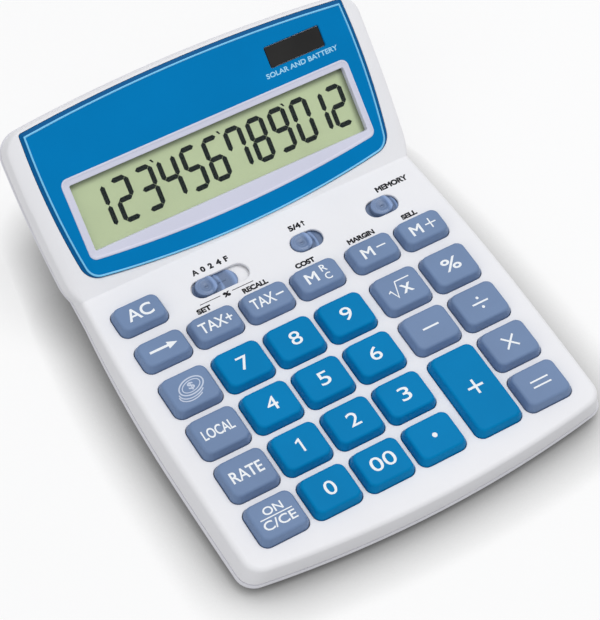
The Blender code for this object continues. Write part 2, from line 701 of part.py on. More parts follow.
def lower_case(frames):
    tongue = WALL + GAP
    rings = [
        floor_ring(LIP_ROUND, FLOOR_Z),
        floor_ring(0, FLOOR_Z + LIP_ROUND),
        skin_ring(LIP_DROP + LIP_DEPTH + LIP_ROUND, LIP_TUCK),
        *reversed(lip_rings()),
        skin_ring(LIP_DROP, tongue),
        skin_ring(LIP_DROP - TONGUE_RISE, tongue),
        skin_ring(LIP_DROP - TONGUE_RISE, tongue + TONGUE_THICKNESS),
        skin_ring(LIP_DROP + LIP_DEPTH, tongue + TONGUE_THICKNESS),
        floor_ring(WALL, FLOOR_Z + FLOOR),
    ]
    body = place("lower_case", loft("lower_case", rings), frames["case"], BASE_WHITE)
    boolean(body, place("posts", lower_posts(), frames["case"]), "UNION")
    boolean(body, place("battery_box", battery_box(), frames["case"]), "UNION")
    boolean(body, place("cut_foot_seats", foot_seats(), frames["case"]))
    boolean(body, place("cut_screw_holes", screw_holes(), frames["case"]))
    boolean(body, place("cut_screw_wells", screw_wells(), frames["case"]))
    boolean(body, place("cut_door", door_pocket(), frames["case"]))
    boolean(body, place("cut_cell", cell_pocket(), frames["case"]))
    boolean(body, place("cut_side_contact", side_contact_slot(), frames["case"]))


def lower_posts():
    """Screw posts and the pillars that carry the main board."""
    low = FLOOR_Z + FLOOR / 2
    made = [
        turned(name, ((POST_RADIUS, low), (POST_RADIUS, seam)), (x, y))
        for name, x, y, seam in case_screws()
    ]
    for run in (MAIN_BOARD_FRONT + SUPPORT_INSET, MAIN_BOARD_BACK - SUPPORT_INSET):
        seat = bent(0, run, MAIN_BOARD_FOOT + GAP)
        high = seat.z - SUPPORT_RADIUS * math.sin(DECK_TILT)
        for side in (-1, 1):
            profile = ((SUPPORT_RADIUS, low), (SUPPORT_RADIUS, high))
            made.append(turned("board_pillar", profile, (side * SUPPORT_X, seat.y), FEW_STEPS))
    return joined("posts", made)


def screw_holes():
    radius = SCREW_RADIUS + GAP
    return joined("cut_screw_holes", [
        turned(name, ((radius, seam - POST_ROOF - OVERRUN), (radius, seam + OVERRUN)), (x, y), FEW_STEPS)
        for name, x, y, seam in case_screws()
    ])


def screw_wells():
    radius = SCREW_HEAD_RADIUS + GAP
    return joined("cut_screw_wells", [
        turned(name, ((radius, FLOOR_Z - OVERRUN), (radius, seam - POST_ROOF)), (x, y), FEW_STEPS)
        for name, x, y, seam in case_screws()
    ])


def screw(frames, name, x, y, seat_z, grip):
    """Pan-head screw, head down, its shank through the seat and into the boss."""
    head = seat_z - GAP
    profile = (
        (SCREW_HEAD_RADIUS, head - SCREW_HEAD_HEIGHT),
        (SCREW_HEAD_RADIUS, head),
        (SCREW_RADIUS, head),
        (SCREW_RADIUS, seat_z + grip - SCREW_TIP),
        (SCREW_RADIUS / 2, seat_z + grip),
    )
    place(name, turned(name, profile, (x, y), FEW_STEPS), frames["case"], SCREW_STEEL)


def foot_places():
    front = FOOT_INSET - DECK_RUN
    rear = BASE_REAR_RUN - FOOT_INSET
    return [
        (name + side_name, side * (floor_half(y) - FOOT_INSET), y)
        for name, y in (("foot_front_", front), ("foot_rear_", rear))
        for side_name, side in (("left", -1), ("right", 1))
    ]


def foot_seats():
    profile = ((FOOT_RADIUS + GAP, FLOOR_Z - OVERRUN), (FOOT_RADIUS + GAP, FLOOR_Z + FOOT_SEAT))
    return joined("cut_foot_seats", [turned(name, profile, (x, y)) for name, x, y in foot_places()])


def feet(frames):
    profile = ((FOOT_RADIUS, GROUND_Z), (FOOT_RADIUS, FLOOR_Z + FOOT_SEAT - GAP))
    for name, x, y in foot_places():
        place(name, turned(name, profile, (x, y)), frames["case"], FOOT_BLACK)


# Battery compartment

def battery_box():
    """Block on the floor that the door's seat and the cell's pocket are cut into."""
    width = DOOR_WIDTH + 2 * (GAP + BATTERY_WALL)
    depth = DOOR_LENGTH + 2 * (GAP + BATTERY_WALL)
    low = FLOOR_Z + FLOOR / 2
    high = BATTERY_ROOF_Z + BATTERY_WALL
    centre = (BATTERY_X, BATTERY_Y)
    return rounded_plate("battery_box", width, depth, DOOR_RADIUS + BATTERY_WALL, low, high, centre)


def door_pocket():
    width = DOOR_WIDTH + 2 * GAP
    depth = DOOR_LENGTH + 2 * GAP
    centre = (BATTERY_X, BATTERY_Y)
    return rounded_plate("cut_door", width, depth, DOOR_RADIUS + GAP, FLOOR_Z - OVERRUN, CELL_Z, centre)


def cell_pocket():
    """Round pocket for the cell and, beside it, the door screw's hole."""
    pocket = ((CELL_POCKET_RADIUS, CELL_Z - OVERRUN), (CELL_POCKET_RADIUS, BATTERY_ROOF_Z))
    hole = ((SCREW_RADIUS + GAP, CELL_Z - OVERRUN), (SCREW_RADIUS + GAP, CELL_Z + DOOR_SCREW_GRIP + GAP))
    return joined("cut_cell", [
        turned("cell", pocket, (CELL_X, BATTERY_Y)),
        turned("door_screw", hole, (DOOR_SCREW_X, BATTERY_Y)),
    ])


def side_contact_slot():
    half = CONTACT_WIDTH / 2 + GAP
    back = CELL_RADIUS + 2 * GAP + CONTACT
    low = (CELL_X - half, BATTERY_Y, CELL_Z - OVERRUN)
    return box("cut_side_contact", low, (CELL_X + half, BATTERY_Y + back, BATTERY_ROOF_Z))


def battery_parts(frames):
    case = frames["case"]
    centre = (CELL_X, BATTERY_Y)
    can = (
        (CELL_RADIUS - CELL_EDGE, CELL_Z),
        (CELL_RADIUS, CELL_Z + CELL_EDGE),
        (CELL_RADIUS, CELL_TOP_Z - 2 * CELL_EDGE),
        (CELL_RADIUS - 2 * CELL_EDGE, CELL_TOP_Z),
    )
    place("button_cell", turned("button_cell", can, centre), case, CELL_STEEL)
    half = CONTACT_WIDTH / 2
    near = CELL_RADIUS + GAP
    side = box(
        "battery_contact_positive",
        (CELL_X - half, BATTERY_Y + near, CELL_Z + CELL_EDGE),
        (CELL_X + half, BATTERY_Y + near + CONTACT, CELL_Z + CELL_EDGE + CONTACT_HEIGHT),
    )
    place("battery_contact_positive", side, case, SPRING_STEEL)
    reach = CELL_RADIUS - CELL_EDGE
    top = box(
        "battery_contact_negative",
        (CELL_X - reach, BATTERY_Y - half, CELL_TOP_Z + GAP),
        (CELL_X + reach, BATTERY_Y + half, CELL_TOP_Z + GAP + CONTACT),
    )
    place("battery_contact_negative", top, case, SPRING_STEEL)
    battery_door(frames)


def battery_door(frames):
    """Flush door, held by a screw whose head is sunk in it."""
    centre = (BATTERY_X, BATTERY_Y)
    mesh = rounded_plate("battery_door", DOOR_WIDTH, DOOR_LENGTH, DOOR_RADIUS, FLOOR_Z, CELL_Z - GAP, centre)
    door = place("battery_door", mesh, frames["case"], BASE_WHITE)
    seat = FLOOR_Z + SCREW_HEAD_HEIGHT + GAP
    at = (DOOR_SCREW_X, BATTERY_Y)
    wide = SCREW_HEAD_RADIUS + GAP
    narrow = SCREW_RADIUS + GAP
    well = turned("cut_door_well", ((wide, FLOOR_Z - OVERRUN), (wide, seat)), at)
    hole = turned("cut_door_hole", ((narrow, FLOOR_Z - OVERRUN), (narrow, CELL_Z + OVERRUN)), at)
    boolean(door, place("cut_door_well", well, frames["case"]))
    boolean(door, place("cut_door_hole", hole, frames["case"]))
    screw(frames, "screw_battery_door", *at, seat, CELL_Z + DOOR_SCREW_GRIP - seat)


# Keys and keypad

def key_mesh(size, finish):
    """Moulded cap, open below, with a retaining flange and a stem that pushes its dome."""
    width = APERTURE_WIDTH - 2 * GAP
    depth = aperture_depth(size) - 2 * GAP
    radius = APERTURE_RADIUS - GAP
    foot = -KEY_FLANGE_DROP - KEY_FLANGE_THICKNESS
    flange = KEY_FLANGE + GAP

    def ring(grow, z):
        return rounded_rectangle(width + 2 * grow, depth + 2 * grow, radius + grow, z, steps=KEY_CORNER_STEPS)

    def stem(z):
        return rounded_rectangle(KEY_STEM, KEY_STEM, KEY_STEM_RADIUS, z, steps=KEY_CORNER_STEPS)

    rings = [
        ring(-KEY_TAPER, KEY_HEIGHT),
        ring(0, KEY_SHOULDER),
        ring(0, -KEY_FLANGE_DROP),
        ring(flange, -KEY_FLANGE_DROP),
        ring(flange, foot),
        ring(-KEY_WALL, foot),
        ring(-KEY_WALL - KEY_TAPER, KEY_HEIGHT - KEY_ROOF),
        stem(KEY_HEIGHT - KEY_ROOF),
        stem(-STEM_DROP),
    ]
    mesh = loft("key_" + size + "_" + finish[0], rings)
    mesh.materials.append(material(*finish))
    return mesh


def keys(frames):
    meshes = {}
    for name, column, row, size, finish in KEYS:
        if (size, finish) not in meshes:
            meshes[size, finish] = key_mesh(size, finish)
        place(name, meshes[size, finish], frames["deck"], location=(column_x(column), row_run(row), 0))


def board_plate(name, drop, thickness, radius):
    """Plate under the whole key field."""
    centre = (0, (MAIN_BOARD_FRONT + MAIN_BOARD_BACK) / 2)
    depth = MAIN_BOARD_BACK - MAIN_BOARD_FRONT
    return rounded_plate(name, 2 * MAIN_BOARD_HALF, depth, radius, -drop - thickness, -drop, centre)


def rubber_keypad(frames):
    """Sheet with one rubber button under each key."""
    mesh = board_plate("rubber_keypad", SHEET_DROP, SHEET, BOARD_CORNER)
    body = place("rubber_keypad", mesh, frames["deck"], SHEET_GREY)
    profile = ((DOME_RADIUS, -SHEET_DROP - SHEET / 2), (DOME_TOP_RADIUS, -DOME_DROP))
    domes = [
        turned(name, profile, (column_x(column), row_run(row)), BUTTON_STEPS)
        for name, column, row, _, _ in KEYS
    ]
    boolean(body, place("domes", joined("domes", domes), frames["deck"]), "UNION")


def main_board(frames):
    mesh = board_plate("main_board", MAIN_BOARD_DROP, BOARD_THICKNESS, BOARD_CORNER)
    place("main_board", mesh, frames["deck"], BOARD_GREEN)
    profile = [
        (CHIP_RADIUS - CHIP_EDGE + CHIP_EDGE * out_share, -MAIN_BOARD_FOOT - GAP - CHIP_HEIGHT * down_share)
        for out_share, down_share in CHIP_SHARES
    ]
    middle = (0, (MAIN_BOARD_FRONT + MAIN_BOARD_BACK) / 2)
    place("controller_chip", turned("controller_chip", profile, middle), frames["deck"], RESIN_BLACK)


def ribbon_cable(frames):
    """Flat cable from under the main board, round the fold, to under the display board."""
    high_board = DISPLAY_BOARD_DROP + BOARD_THICKNESS
    route = (
        (MAIN_BOARD_BACK - RIBBON_LAP, MAIN_BOARD_FOOT + GAP),
        (MAIN_BOARD_BACK, MAIN_BOARD_FOOT + GAP),
        (0, MAIN_BOARD_FOOT + RIBBON_SLACK),
        (BORDER_FOOT, high_board + GAP),
        (BORDER_FOOT + RIBBON_LAP, high_board + GAP),
    )
    half = RIBBON_WIDTH / 2
    rings = []
    for run, drop in route:
        upper, lower = bent(0, run, drop), bent(0, run, drop + RIBBON_THICKNESS)
        sides = ((-half, upper), (half, upper), (half, lower), (-half, lower))
        rings.append([Vector((x, point.y, point.z)) for x, point in sides])
    place("ribbon_cable", loft("ribbon_cable", rings), frames["case"], CABLE_GREY)


# Slide switches

def switches():
    """(name, middle x, recess length, travel, plate's reach past the thumb, share of the travel at rest)."""
    short = (SHORT_SWITCH_LENGTH, SHORT_TRAVEL, SHORT_PLATE_REACH)
    return (
        ("decimal_slider", LONG_SWITCH_X, LONG_SWITCH_LENGTH, LONG_TRAVEL, LONG_PLATE_REACH, AT_LEFT_SHARE),
        ("rounding_slider", MIDDLE_SWITCH_X, *short, AT_LEFT_SHARE),
        ("memory_slider", RIGHT_SWITCH_X, *short, MIDWAY_SHARE),
    )


def switch_dishes():
    made = []
    for name, x, length, *_ in switches():
        centre = (x, row_run(1))
        slope = SWITCH_DISH_SLOPE
        grow = slope * OVERRUN / SWITCH_DISH
        made.append(loft(name, [
            rounded_rectangle(length + 2 * out, SWITCH_WIDTH + 2 * out, SWITCH_WIDTH, z, centre)
            for out, z in ((-slope, -SWITCH_DISH), (grow, OVERRUN))
        ]))
    return joined("cut_switch_dishes", made)


def slot_size(length):
    return length - 2 * SWITCH_RIM, SWITCH_WIDTH - 2 * SWITCH_RIM


def switch_slots():
    made = []
    for name, x, length, *_ in switches():
        slot_length, width = slot_size(length)
        centre = (x, row_run(1))
        made.append(rounded_plate(name, slot_length, width, width / 2, -WALL - OVERRUN, OVERRUN, centre))
    return joined("cut_switch_slots", made)


def sliders(frames):
    """Each slider's thumb stands in its slot, on a plate that runs under the deck and down to the keypad."""
    for name, x, length, travel, reach, rest_share in switches():
        slot_length, slot_width = slot_size(length)
        thumb = slot_length - travel - 2 * GAP
        width = slot_width - 2 * GAP
        top = -WALL - GAP
        tip = (thumb - 2 * THUMB_TAPER, width - 2 * THUMB_TAPER, width / 2)
        plate = (thumb + 2 * reach, slot_width + 2 * PLATE_OVERLAP, BOARD_CORNER)
        runner = (RUNNER, RUNNER, BOARD_CORNER)
        sections = (
            (tip, THUMB_HEIGHT),
            ((thumb, width, width / 2), THUMB_HEIGHT - THUMB_TAPER),
            ((thumb, width, width / 2), top),
            (plate, top),
            (plate, top - PLATE_THICKNESS),
            (runner, top - PLATE_THICKNESS),
            (runner, GAP - SHEET_DROP),
        )
        rings = [rounded_rectangle(*size, z, steps=KEY_CORNER_STEPS) for size, z in sections]
        rest_x = x + travel * (rest_share - MIDWAY_SHARE)
        place(name, loft(name, rings), frames["deck"], KEY_GREY, location=(rest_x, row_run(1), 0))


# Display

def fascia_ring(grow, z):
    """Outline of the blue panel: bowed above and below, its sides drawn in towards the keys."""
    low = FASCIA_FOOT - grow
    high = FASCIA_TOP + grow
    widest = FASCIA_FOOT + (FASCIA_TOP - FASCIA_FOOT) * FASCIA_WIDEST_SHARE

    def half(run):
        below = max(0, widest - run) / (widest - FASCIA_FOOT)
        above = max(0, run - widest) / (FASCIA_TOP - widest)
        return FASCIA_HALF - FASCIA_FOOT_DRAW_IN * below ** 2 - FASCIA_TOP_DRAW_IN * above ** 2 + grow

    foot_corner = Vector((half(low + FASCIA_FOOT_BOW), low + FASCIA_FOOT_BOW))
    top_corner = Vector((half(high - FASCIA_TOP_BOW), high - FASCIA_TOP_BOW))
    foot = [Vector((foot_corner.x * s, low + FASCIA_FOOT_BOW * s ** 2)) for s in FRONT_SHARES]
    runs = [foot_corner.y + (top_corner.y - foot_corner.y) * s for s in FASCIA_SIDE_SHARES]
    side = [Vector((half(run), run)) for run in runs]
    top = [Vector((top_corner.x * s, high - FASCIA_TOP_BOW * s ** 2)) for s in BACK_SHARES]
    first = fillet(foot[-1], foot_corner, side[0], FASCIA_RADIUS + grow)
    second = fillet(side[-1], top_corner, top[0], FASCIA_TOP_RADIUS + grow)
    return both_halves([Vector((x, run, z)) for x, run in foot + first + side + second + top])


def fascia_recess():
    return loft("cut_fascia_recess", [fascia_ring(GAP, z) for z in (-RECESS_DEPTH, OVERRUN)])


def window_solid(name, grow, low, high, edge=0):
    """Rounded rectangle over the lavender border, for the window, its frame and their openings."""
    width = 2 * (BORDER_HALF + grow)
    height = BORDER_TOP - BORDER_FOOT + 2 * grow
    centre = (0, (BORDER_TOP + BORDER_FOOT) / 2)
    return rounded_plate(name, width, height, WINDOW_RADIUS + grow, low, high, centre, edge)


def display_fascia(frames):
    rings = [
        fascia_ring(0, GAP - RECESS_DEPTH),
        fascia_ring(0, FASCIA_PROUD - FASCIA_BEVEL),
        fascia_ring(-FASCIA_BEVEL, FASCIA_PROUD),
    ]
    body = place("display_fascia", loft("display_fascia", rings), frames["head"], FASCIA_BLUE)
    window = window_solid("cut_fascia_window", 0, -OVERRUN, OVERRUN)
    boolean(body, place("cut_fascia_window", window, frames["head"]))
    opening = solar_solid("cut_solar", 0, -OVERRUN, OVERRUN)
    boolean(body, place("cut_solar", opening, frames["head"]))


def solar_solid(name, grow, low, high):
    width = SOLAR_WIDTH + 2 * grow
    height = SOLAR_HEIGHT + 2 * grow
    return rounded_plate(name, width, height, SOLAR_RADIUS, low, high, (SOLAR_X, SOLAR_RUN))


def display_parts(frames):
    head = frames["head"]
    window = window_solid("display_window", -GAP, WINDOW_PROUD - WINDOW_THICKNESS, WINDOW_PROUD, WINDOW_EDGE)
    place("display_window", window, head, CLEAR_PLASTIC)
    solar = solar_solid("solar_cell", -GAP, GAP - RECESS_DEPTH, SOLAR_PROUD)
    place("solar_cell", solar, head, SOLAR_DARK)
    display_frame(frames)
    middle = (BORDER_FOOT + BORDER_TOP) / 2
    pocket = GAP + FRAME_WALL + GAP
    width = 2 * (BORDER_HALF - pocket)
    height = BORDER_TOP - BORDER_FOOT - 2 * pocket
    foot = -LCD_DROP - LCD_GLASS
    glass = rounded_plate("lcd_panel", width, height, BOARD_CORNER, foot, -LCD_DROP, (0, middle))
    place("lcd_panel", glass, head, LCD_GREEN)
    strip_run = BORDER_FOOT + pocket + STRIP_WIDTH
    strip = rounded_plate(
        "zebra_strip",
        width - 2 * STRIP_MARGIN,
        STRIP_WIDTH,
        SOLAR_RADIUS,
        -STRIP_DROP - STRIP_HEIGHT,
        -STRIP_DROP,
        (0, strip_run),
    )
    place("zebra_strip", strip, head, STRIP_PINK)
    board = rounded_plate(
        "display_board",
        2 * (BOARD_POST_X + BOARD_POST_RADIUS),
        BORDER_TOP - BORDER_FOOT,
        BOARD_CORNER,
        -DISPLAY_BOARD_DROP - BOARD_THICKNESS,
        -DISPLAY_BOARD_DROP,
        (0, middle),
    )
    place("display_board", board, head, BOARD_GREEN)


def display_frame(frames):
    """Bezel that drops through the case, with a flange under the wall and a pocket for the glass."""
    width = 2 * (BORDER_HALF - GAP)
    height = BORDER_TOP - BORDER_FOOT - 2 * GAP
    centre = (0, (BORDER_FOOT + BORDER_TOP) / 2)
    radius = WINDOW_RADIUS - GAP

    def ring(grow, z):
        return rounded_rectangle(width + 2 * grow, height + 2 * grow, radius + grow, z, centre)

    def opening(z):
        return rounded_rectangle(LCD_WIDTH, LCD_HEIGHT, SOLAR_RADIUS, z, centre)

    rings = [
        ring(0, -FRAME_DROP),
        ring(0, -FRAME_FLANGE_DROP),
        ring(FRAME_FLANGE, -FRAME_FLANGE_DROP),
        ring(FRAME_FLANGE, -FRAME_FOOT),
        ring(-FRAME_WALL, -FRAME_FOOT),
        ring(-FRAME_WALL, -FRAME_DROP - FRAME_LIP),
        opening(-FRAME_DROP - FRAME_LIP),
        opening(-FRAME_DROP),
    ]
    place("display_frame", tube("display_frame", rings), frames["head"], FRAME_GREY)


def tube(name, rings):
    """Closed band through rings that come back to the first."""
    form = bmesh.new()
    rows = [[form.verts.new(point) for point in ring] for ring in rings]
    count = len(rings[0])
    for lower, upper in zip(rows, rows[1:] + rows[:1]):
        for i in range(count):
            j = (i + 1) % count
            form.faces.new((lower[i], lower[j], upper[j], upper[i]))
    return finish_mesh(form, name)


# Assembly

def stand():
    """Empties that hold the case, the deck and the display head, with the feet on the ground."""
    ends = [point.y for ring in lip_rings() for point in ring]
    middle = (min(ends) + max(ends)) / 2
    case = place("case_frame", None, None, location=(0, -middle, -GROUND_Z))
    return {
        "case": case,
        "deck": place("deck_frame", None, case, rotation=(DECK_TILT, 0, 0)),
        "head": place("head_frame", None, case, rotation=(HEAD_TILT, 0, 0)),
    }


def main():
    for leftover in list(bpy.data.objects):
        bpy.data.objects.remove(leftover, do_unlink=True)
    frames = stand()
    upper_case(frames)
    lower_case(frames)
    feet(frames)
    for name, x, y, seam in case_screws():
        screw(frames, name, x, y, seam - POST_ROOF, POST_ROOF + SCREW_GRIP)
    battery_parts(frames)
    keys(frames)
    rubber_keypad(frames)
    main_board(frames)
    ribbon_cable(frames)
    sliders(frames)
    display_fascia(frames)
    display_parts(frames)


main()
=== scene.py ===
import math
import bmesh
import bpy
from mathutils import Matrix, Vector


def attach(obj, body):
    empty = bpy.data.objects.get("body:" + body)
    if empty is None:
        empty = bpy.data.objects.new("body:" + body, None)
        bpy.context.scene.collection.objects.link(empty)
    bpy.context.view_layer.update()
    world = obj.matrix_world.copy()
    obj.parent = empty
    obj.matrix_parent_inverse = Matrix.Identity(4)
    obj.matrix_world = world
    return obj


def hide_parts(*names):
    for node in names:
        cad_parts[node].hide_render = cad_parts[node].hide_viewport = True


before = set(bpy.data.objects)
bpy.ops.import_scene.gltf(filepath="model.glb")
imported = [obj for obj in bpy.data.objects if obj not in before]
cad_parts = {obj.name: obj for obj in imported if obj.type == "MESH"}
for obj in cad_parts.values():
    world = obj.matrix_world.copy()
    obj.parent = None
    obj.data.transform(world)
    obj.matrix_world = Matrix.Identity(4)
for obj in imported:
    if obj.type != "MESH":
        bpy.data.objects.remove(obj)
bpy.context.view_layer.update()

mm = 0.001

# The fold where the key deck meets the display head, and how far each of the two leans
fold = {"y": 33.17671 * mm, "z": 19.51621 * mm, "deck": math.radians(3), "head": math.radians(41)}
caseSpace = Matrix.Translation((0, fold["y"], fold["z"]))
deckSpace = caseSpace @ Matrix.Rotation(fold["deck"], 4, "X")
headSpace = caseSpace @ Matrix.Rotation(fold["head"], 4, "X")


# Small tools

def quiet():
    if bpy.context.mode != "OBJECT":
        bpy.ops.object.mode_set(mode="OBJECT")
    bpy.ops.object.select_all(action="DESELECT")


def pick(*pieces):
    quiet()
    for piece in pieces:
        piece.select_set(True)
    bpy.context.view_layer.objects.active = pieces[0]


def named(name):
    piece = bpy.context.object
    piece.name = name
    piece.data.name = name
    return piece


def openEdit(piece, kind="FACE"):
    pick(piece)
    bpy.ops.object.mode_set(mode="EDIT")
    bpy.ops.mesh.select_mode(type=kind)
    bpy.ops.mesh.select_all(action="DESELECT")


def chooseFaces(piece, test):
    openEdit(piece, "FACE")
    form = bmesh.from_edit_mesh(piece.data)
    for face in form.faces:
        face.select_set(test(face.calc_center_median(), face.normal))
    form.select_flush_mode()
    bmesh.update_edit_mesh(piece.data)


def chooseEdges(piece, test):
    openEdit(piece, "EDGE")
    form = bmesh.from_edit_mesh(piece.data)
    for edge in form.edges:
        edge.select_set(test(edge.verts[0].co, edge.verts[1].co))
    form.select_flush_mode()
    bmesh.update_edit_mesh(piece.data)


def leaveEdit():
    bpy.ops.object.mode_set(mode="OBJECT")


def applyAll(piece):
    pick(piece)
    for modifier in list(piece.modifiers):
        bpy.ops.object.modifier_apply(modifier=modifier.name)


def cutAway(piece, cutter, operation="DIFFERENCE"):
    modifier = piece.modifiers.new("cut", "BOOLEAN")
    modifier.operation = operation
    modifier.solver = "EXACT"
    modifier.object = cutter
    applyAll(piece)
    bpy.data.objects.remove(cutter, do_unlink=True)


def together(name, pieces):
    pick(*pieces)
    bpy.ops.object.join()
    return named(name)


def layOn(piece, space):
    piece.matrix_world = space @ piece.matrix_world
    pick(piece)
    bpy.ops.object.transform_apply(location=True, rotation=True, scale=True)


def smooth(piece, angle=32):
    pick(piece)
    bpy.ops.object.shade_smooth_by_angle(angle=math.radians(angle))
    weigh = piece.modifiers.new("weigh", "WEIGHTED_NORMAL")
    weigh.keep_sharp = True
    weigh.weight = 90
    applyAll(piece)


def dress(piece, material, body="housing", stands=()):
    piece.data.materials.clear()
    piece.data.materials.append(material)
    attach(piece, body)
    if stands:
        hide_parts(*stands)
    return piece


# Finishes

def shade(code, alpha=1.0):
    parts = [int(code[i:i + 2], 16) / 255 for i in (1, 3, 5)]
    linear = [part / 12.92 if part <= 0.04045 else ((part + 0.055) / 1.055) ** 2.4 for part in parts]
    return (*linear, alpha)


def plastic(name, colour, rough=0.42, grain=2600, vary=0.04, relief=0.03, specular=0.5):
    material = bpy.data.materials.new(name)
    material.use_nodes = True
    nodes = material.node_tree.nodes
    link = material.node_tree.links.new
    skin = nodes["Principled BSDF"]
    skin.inputs["Specular IOR Level"].default_value = specular
    place = nodes.new("ShaderNodeTexCoord")
    fine = nodes.new("ShaderNodeTexNoise")
    fine.inputs["Scale"].default_value = grain
    fine.inputs["Detail"].default_value = 4
    broad = nodes.new("ShaderNodeTexNoise")
    broad.inputs["Scale"].default_value = 45
    broad.inputs["Detail"].default_value = 3
    link(place.outputs["Object"], fine.inputs["Vector"])
    link(place.outputs["Object"], broad.inputs["Vector"])
    tone = nodes.new("ShaderNodeValToRGB")
    low = [part * (1 - vary) for part in colour[:3]]
    high = [min(1, part * (1 + vary)) for part in colour[:3]]
    tone.color_ramp.elements[0].position = 0.3
    tone.color_ramp.elements[0].color = (*low, 1)
    tone.color_ramp.elements[1].position = 0.7
    tone.color_ramp.elements[1].color = (*high, 1)
    link(broad.outputs["Fac"], tone.inputs["Fac"])
    link(tone.outputs["Color"], skin.inputs["Base Color"])
    polish = nodes.new("ShaderNodeMapRange")
    polish.inputs["To Min"].default_value = rough - 0.05
    polish.inputs["To Max"].default_value = rough + 0.05
    link(fine.outputs["Fac"], polish.inputs["Value"])
    link(polish.outputs["Result"], skin.inputs["Roughness"])
    bump = nodes.new("ShaderNodeBump")
    bump.inputs["Strength"].default_value = relief
    bump.inputs["Distance"].default_value = 0.05 * mm
    link(fine.outputs["Fac"], bump.inputs["Height"])
    link(bump.outputs["Normal"], skin.inputs["Normal"])
    return material


def metal(name, colour, rough=0.3, grain=1800):
    material = plastic(name, colour, rough, grain, vary=0.08, relief=0.08)
    material.node_tree.nodes["Principled BSDF"].inputs["Metallic"].default_value = 1
    return material


finishes = {
    "caseWhite": plastic("case_white", shade("#F0F0F3"), 0.5, 2400, 0.012, 0.04, 0.4),
    "baseWhite": plastic("base_white", shade("#E4E4EA"), 0.55, 2000, 0.015, 0.05, 0.4),
    "fasciaBlue": plastic("fascia_blue", shade("#007DBE"), 0.4, 3200, 0.03, 0.02, 0.04),
    # painted shade: a darker copy of the panel blue for the outer chamfer ring
    "shadedEdgeBlue": plastic("painted_shade_blue", shade("#005C96"), 0.4, 3200, 0.03, 0.02, 0.08),
    # painted highlight: a paler copy of the panel blue for the bead
    "highlightBlue": plastic("painted_highlight_blue", shade("#7ACCF5"), 0.3, 3200, 0.02, 0.01, 0.4),
    "keyBlue": plastic("key_blue", shade("#007FBA"), 0.45, 3000, 0.04, 0.05, 0.05),
    "keyGrey": plastic("key_grey", shade("#748BAF"), 0.45, 3000, 0.05, 0.06, 0.15),
    "switchGrey": plastic("switch_grey", shade("#798FB4"), 0.28, 3000, 0.05, 0.05, 0.4),
    "frameGrey": plastic("frame_grey", shade("#D8D9EA"), 0.42, 3000, 0.015, 0.03, 0.35),
    "lcdGreen": plastic("lcd_green", shade("#C2D0A6"), 0.4, 5000, 0.035, 0.01, 0.05),
    "segmentInk": plastic("segment_ink", shade("#06120F"), 0.6, 5000, 0.1, 0.01, 0.0),
    "legendWhite": plastic("legend_white", shade("#F2F6F9"), 0.5, 5000, 0.01, 0.01, 0.2),
    "legendPale": plastic("legend_pale", shade("#C6D0E2"), 0.5, 5000, 0.02, 0.01, 0.2),
    "printBlack": plastic("print_black", shade("#1B1B20"), 0.55, 5000, 0.1, 0.01, 0.1),
    "captionBlue": plastic("caption_blue", shade("#A4DCF8"), 0.5, 5000, 0.02, 0.01, 0.2),
    "solarDark": plastic("solar_dark", shade("#201F1E"), 0.3, 900, 0.3, 0.01, 0.2),
    "boardGreen": plastic("board_green", shade("#1C5B36"), 0.45, 800, 0.15, 0.1),
    "resinBlack": plastic("resin_black", shade("#121214"), 0.35, 1200, 0.1, 0.1),
    "cableGrey": plastic("cable_grey", shade("#B9BABF"), 0.5, 1500, 0.06, 0.1),
    "stripPink": plastic("strip_pink", shade("#C98F8F"), 0.7, 1500, 0.08, 0.2),
    "sheetGrey": plastic("sheet_grey", shade("#C9CACD"), 0.75, 1500, 0.03, 0.2),
    "footBlack": plastic("foot_black", shade("#1A1A1C"), 0.85, 1800, 0.15, 0.3),
    "screwSteel": metal("screw_steel", shade("#C9CACC"), 0.32),
    "springSteel": metal("spring_steel", shade("#CFCBBE"), 0.28),
    "cellSteel": metal("cell_steel", shade("#D6D7D8"), 0.2),
}

clear = plastic("clear_window", shade("#EAF4F4"), 0.08, 4000, 0.005, 0.0, 0.1)
clear.node_tree.nodes["Principled BSDF"].inputs["Alpha"].default_value = 0.015
finishes["clearWindow"] = clear
print("finishes mixed")


# The moulded case: formulas for its outlines, in millimetres

shell = {
    "deckHalf": 68.05, "deckRun": 121.0, "widestShare": 0.58, "frontDrawIn": 0.4, "neckHalf": 65.15,
    "neckLean": 0.5, "skirtLean": 2.4, "leanDepth": 10.5, "frontLean": 0.5, "frontBow": 5.6, "frontRadius": 6.5,
    "headHalf": 69.3, "headRun": 63.8, "headTaper": 2.2, "headWidestShare": 0.73, "neckRun": 7.0,
    "cornerRadius": 8.5, "crown": 1.0, "faceHalf": 63.7, "faceRun": 62.8, "faceRadius": 0.9, "topBow": 3.1,
    "panelHalf": 63.1, "edgeRadius": 1.6, "shoulderDrop": 4.0, "skirtDepth": 8.0, "wall": 2.2, "roundSteps": 8,
}
base = {
    "gap": 0.3, "lipProud": 0.3, "lipDepth": 1.4, "lipRound": 0.8, "lipTuck": 1.2, "tongueRise": 1.2,
    "tongue": 1.2, "floorZ": -18.3162, "floor": 1.8, "inset": 2.6, "neckInset": 4.6, "rearInset": 17.0,
    "rearRun": 50.0, "rearBow": 2.0, "rearRadius": 8.0,
}


def bent(x, run, drop):
    if abs(run) < 1e-6:
        middle = (fold["deck"] + fold["head"]) / 2
        reach = drop / math.cos((fold["head"] - fold["deck"]) / 2)
        return Vector((x, reach * math.sin(middle), -reach * math.cos(middle)))
    tilt = fold["head"] if run > 0 else fold["deck"]
    across = run * math.cos(tilt) + drop * math.sin(tilt)
    return Vector((x, across, run * math.sin(tilt) - drop * math.cos(tilt)))


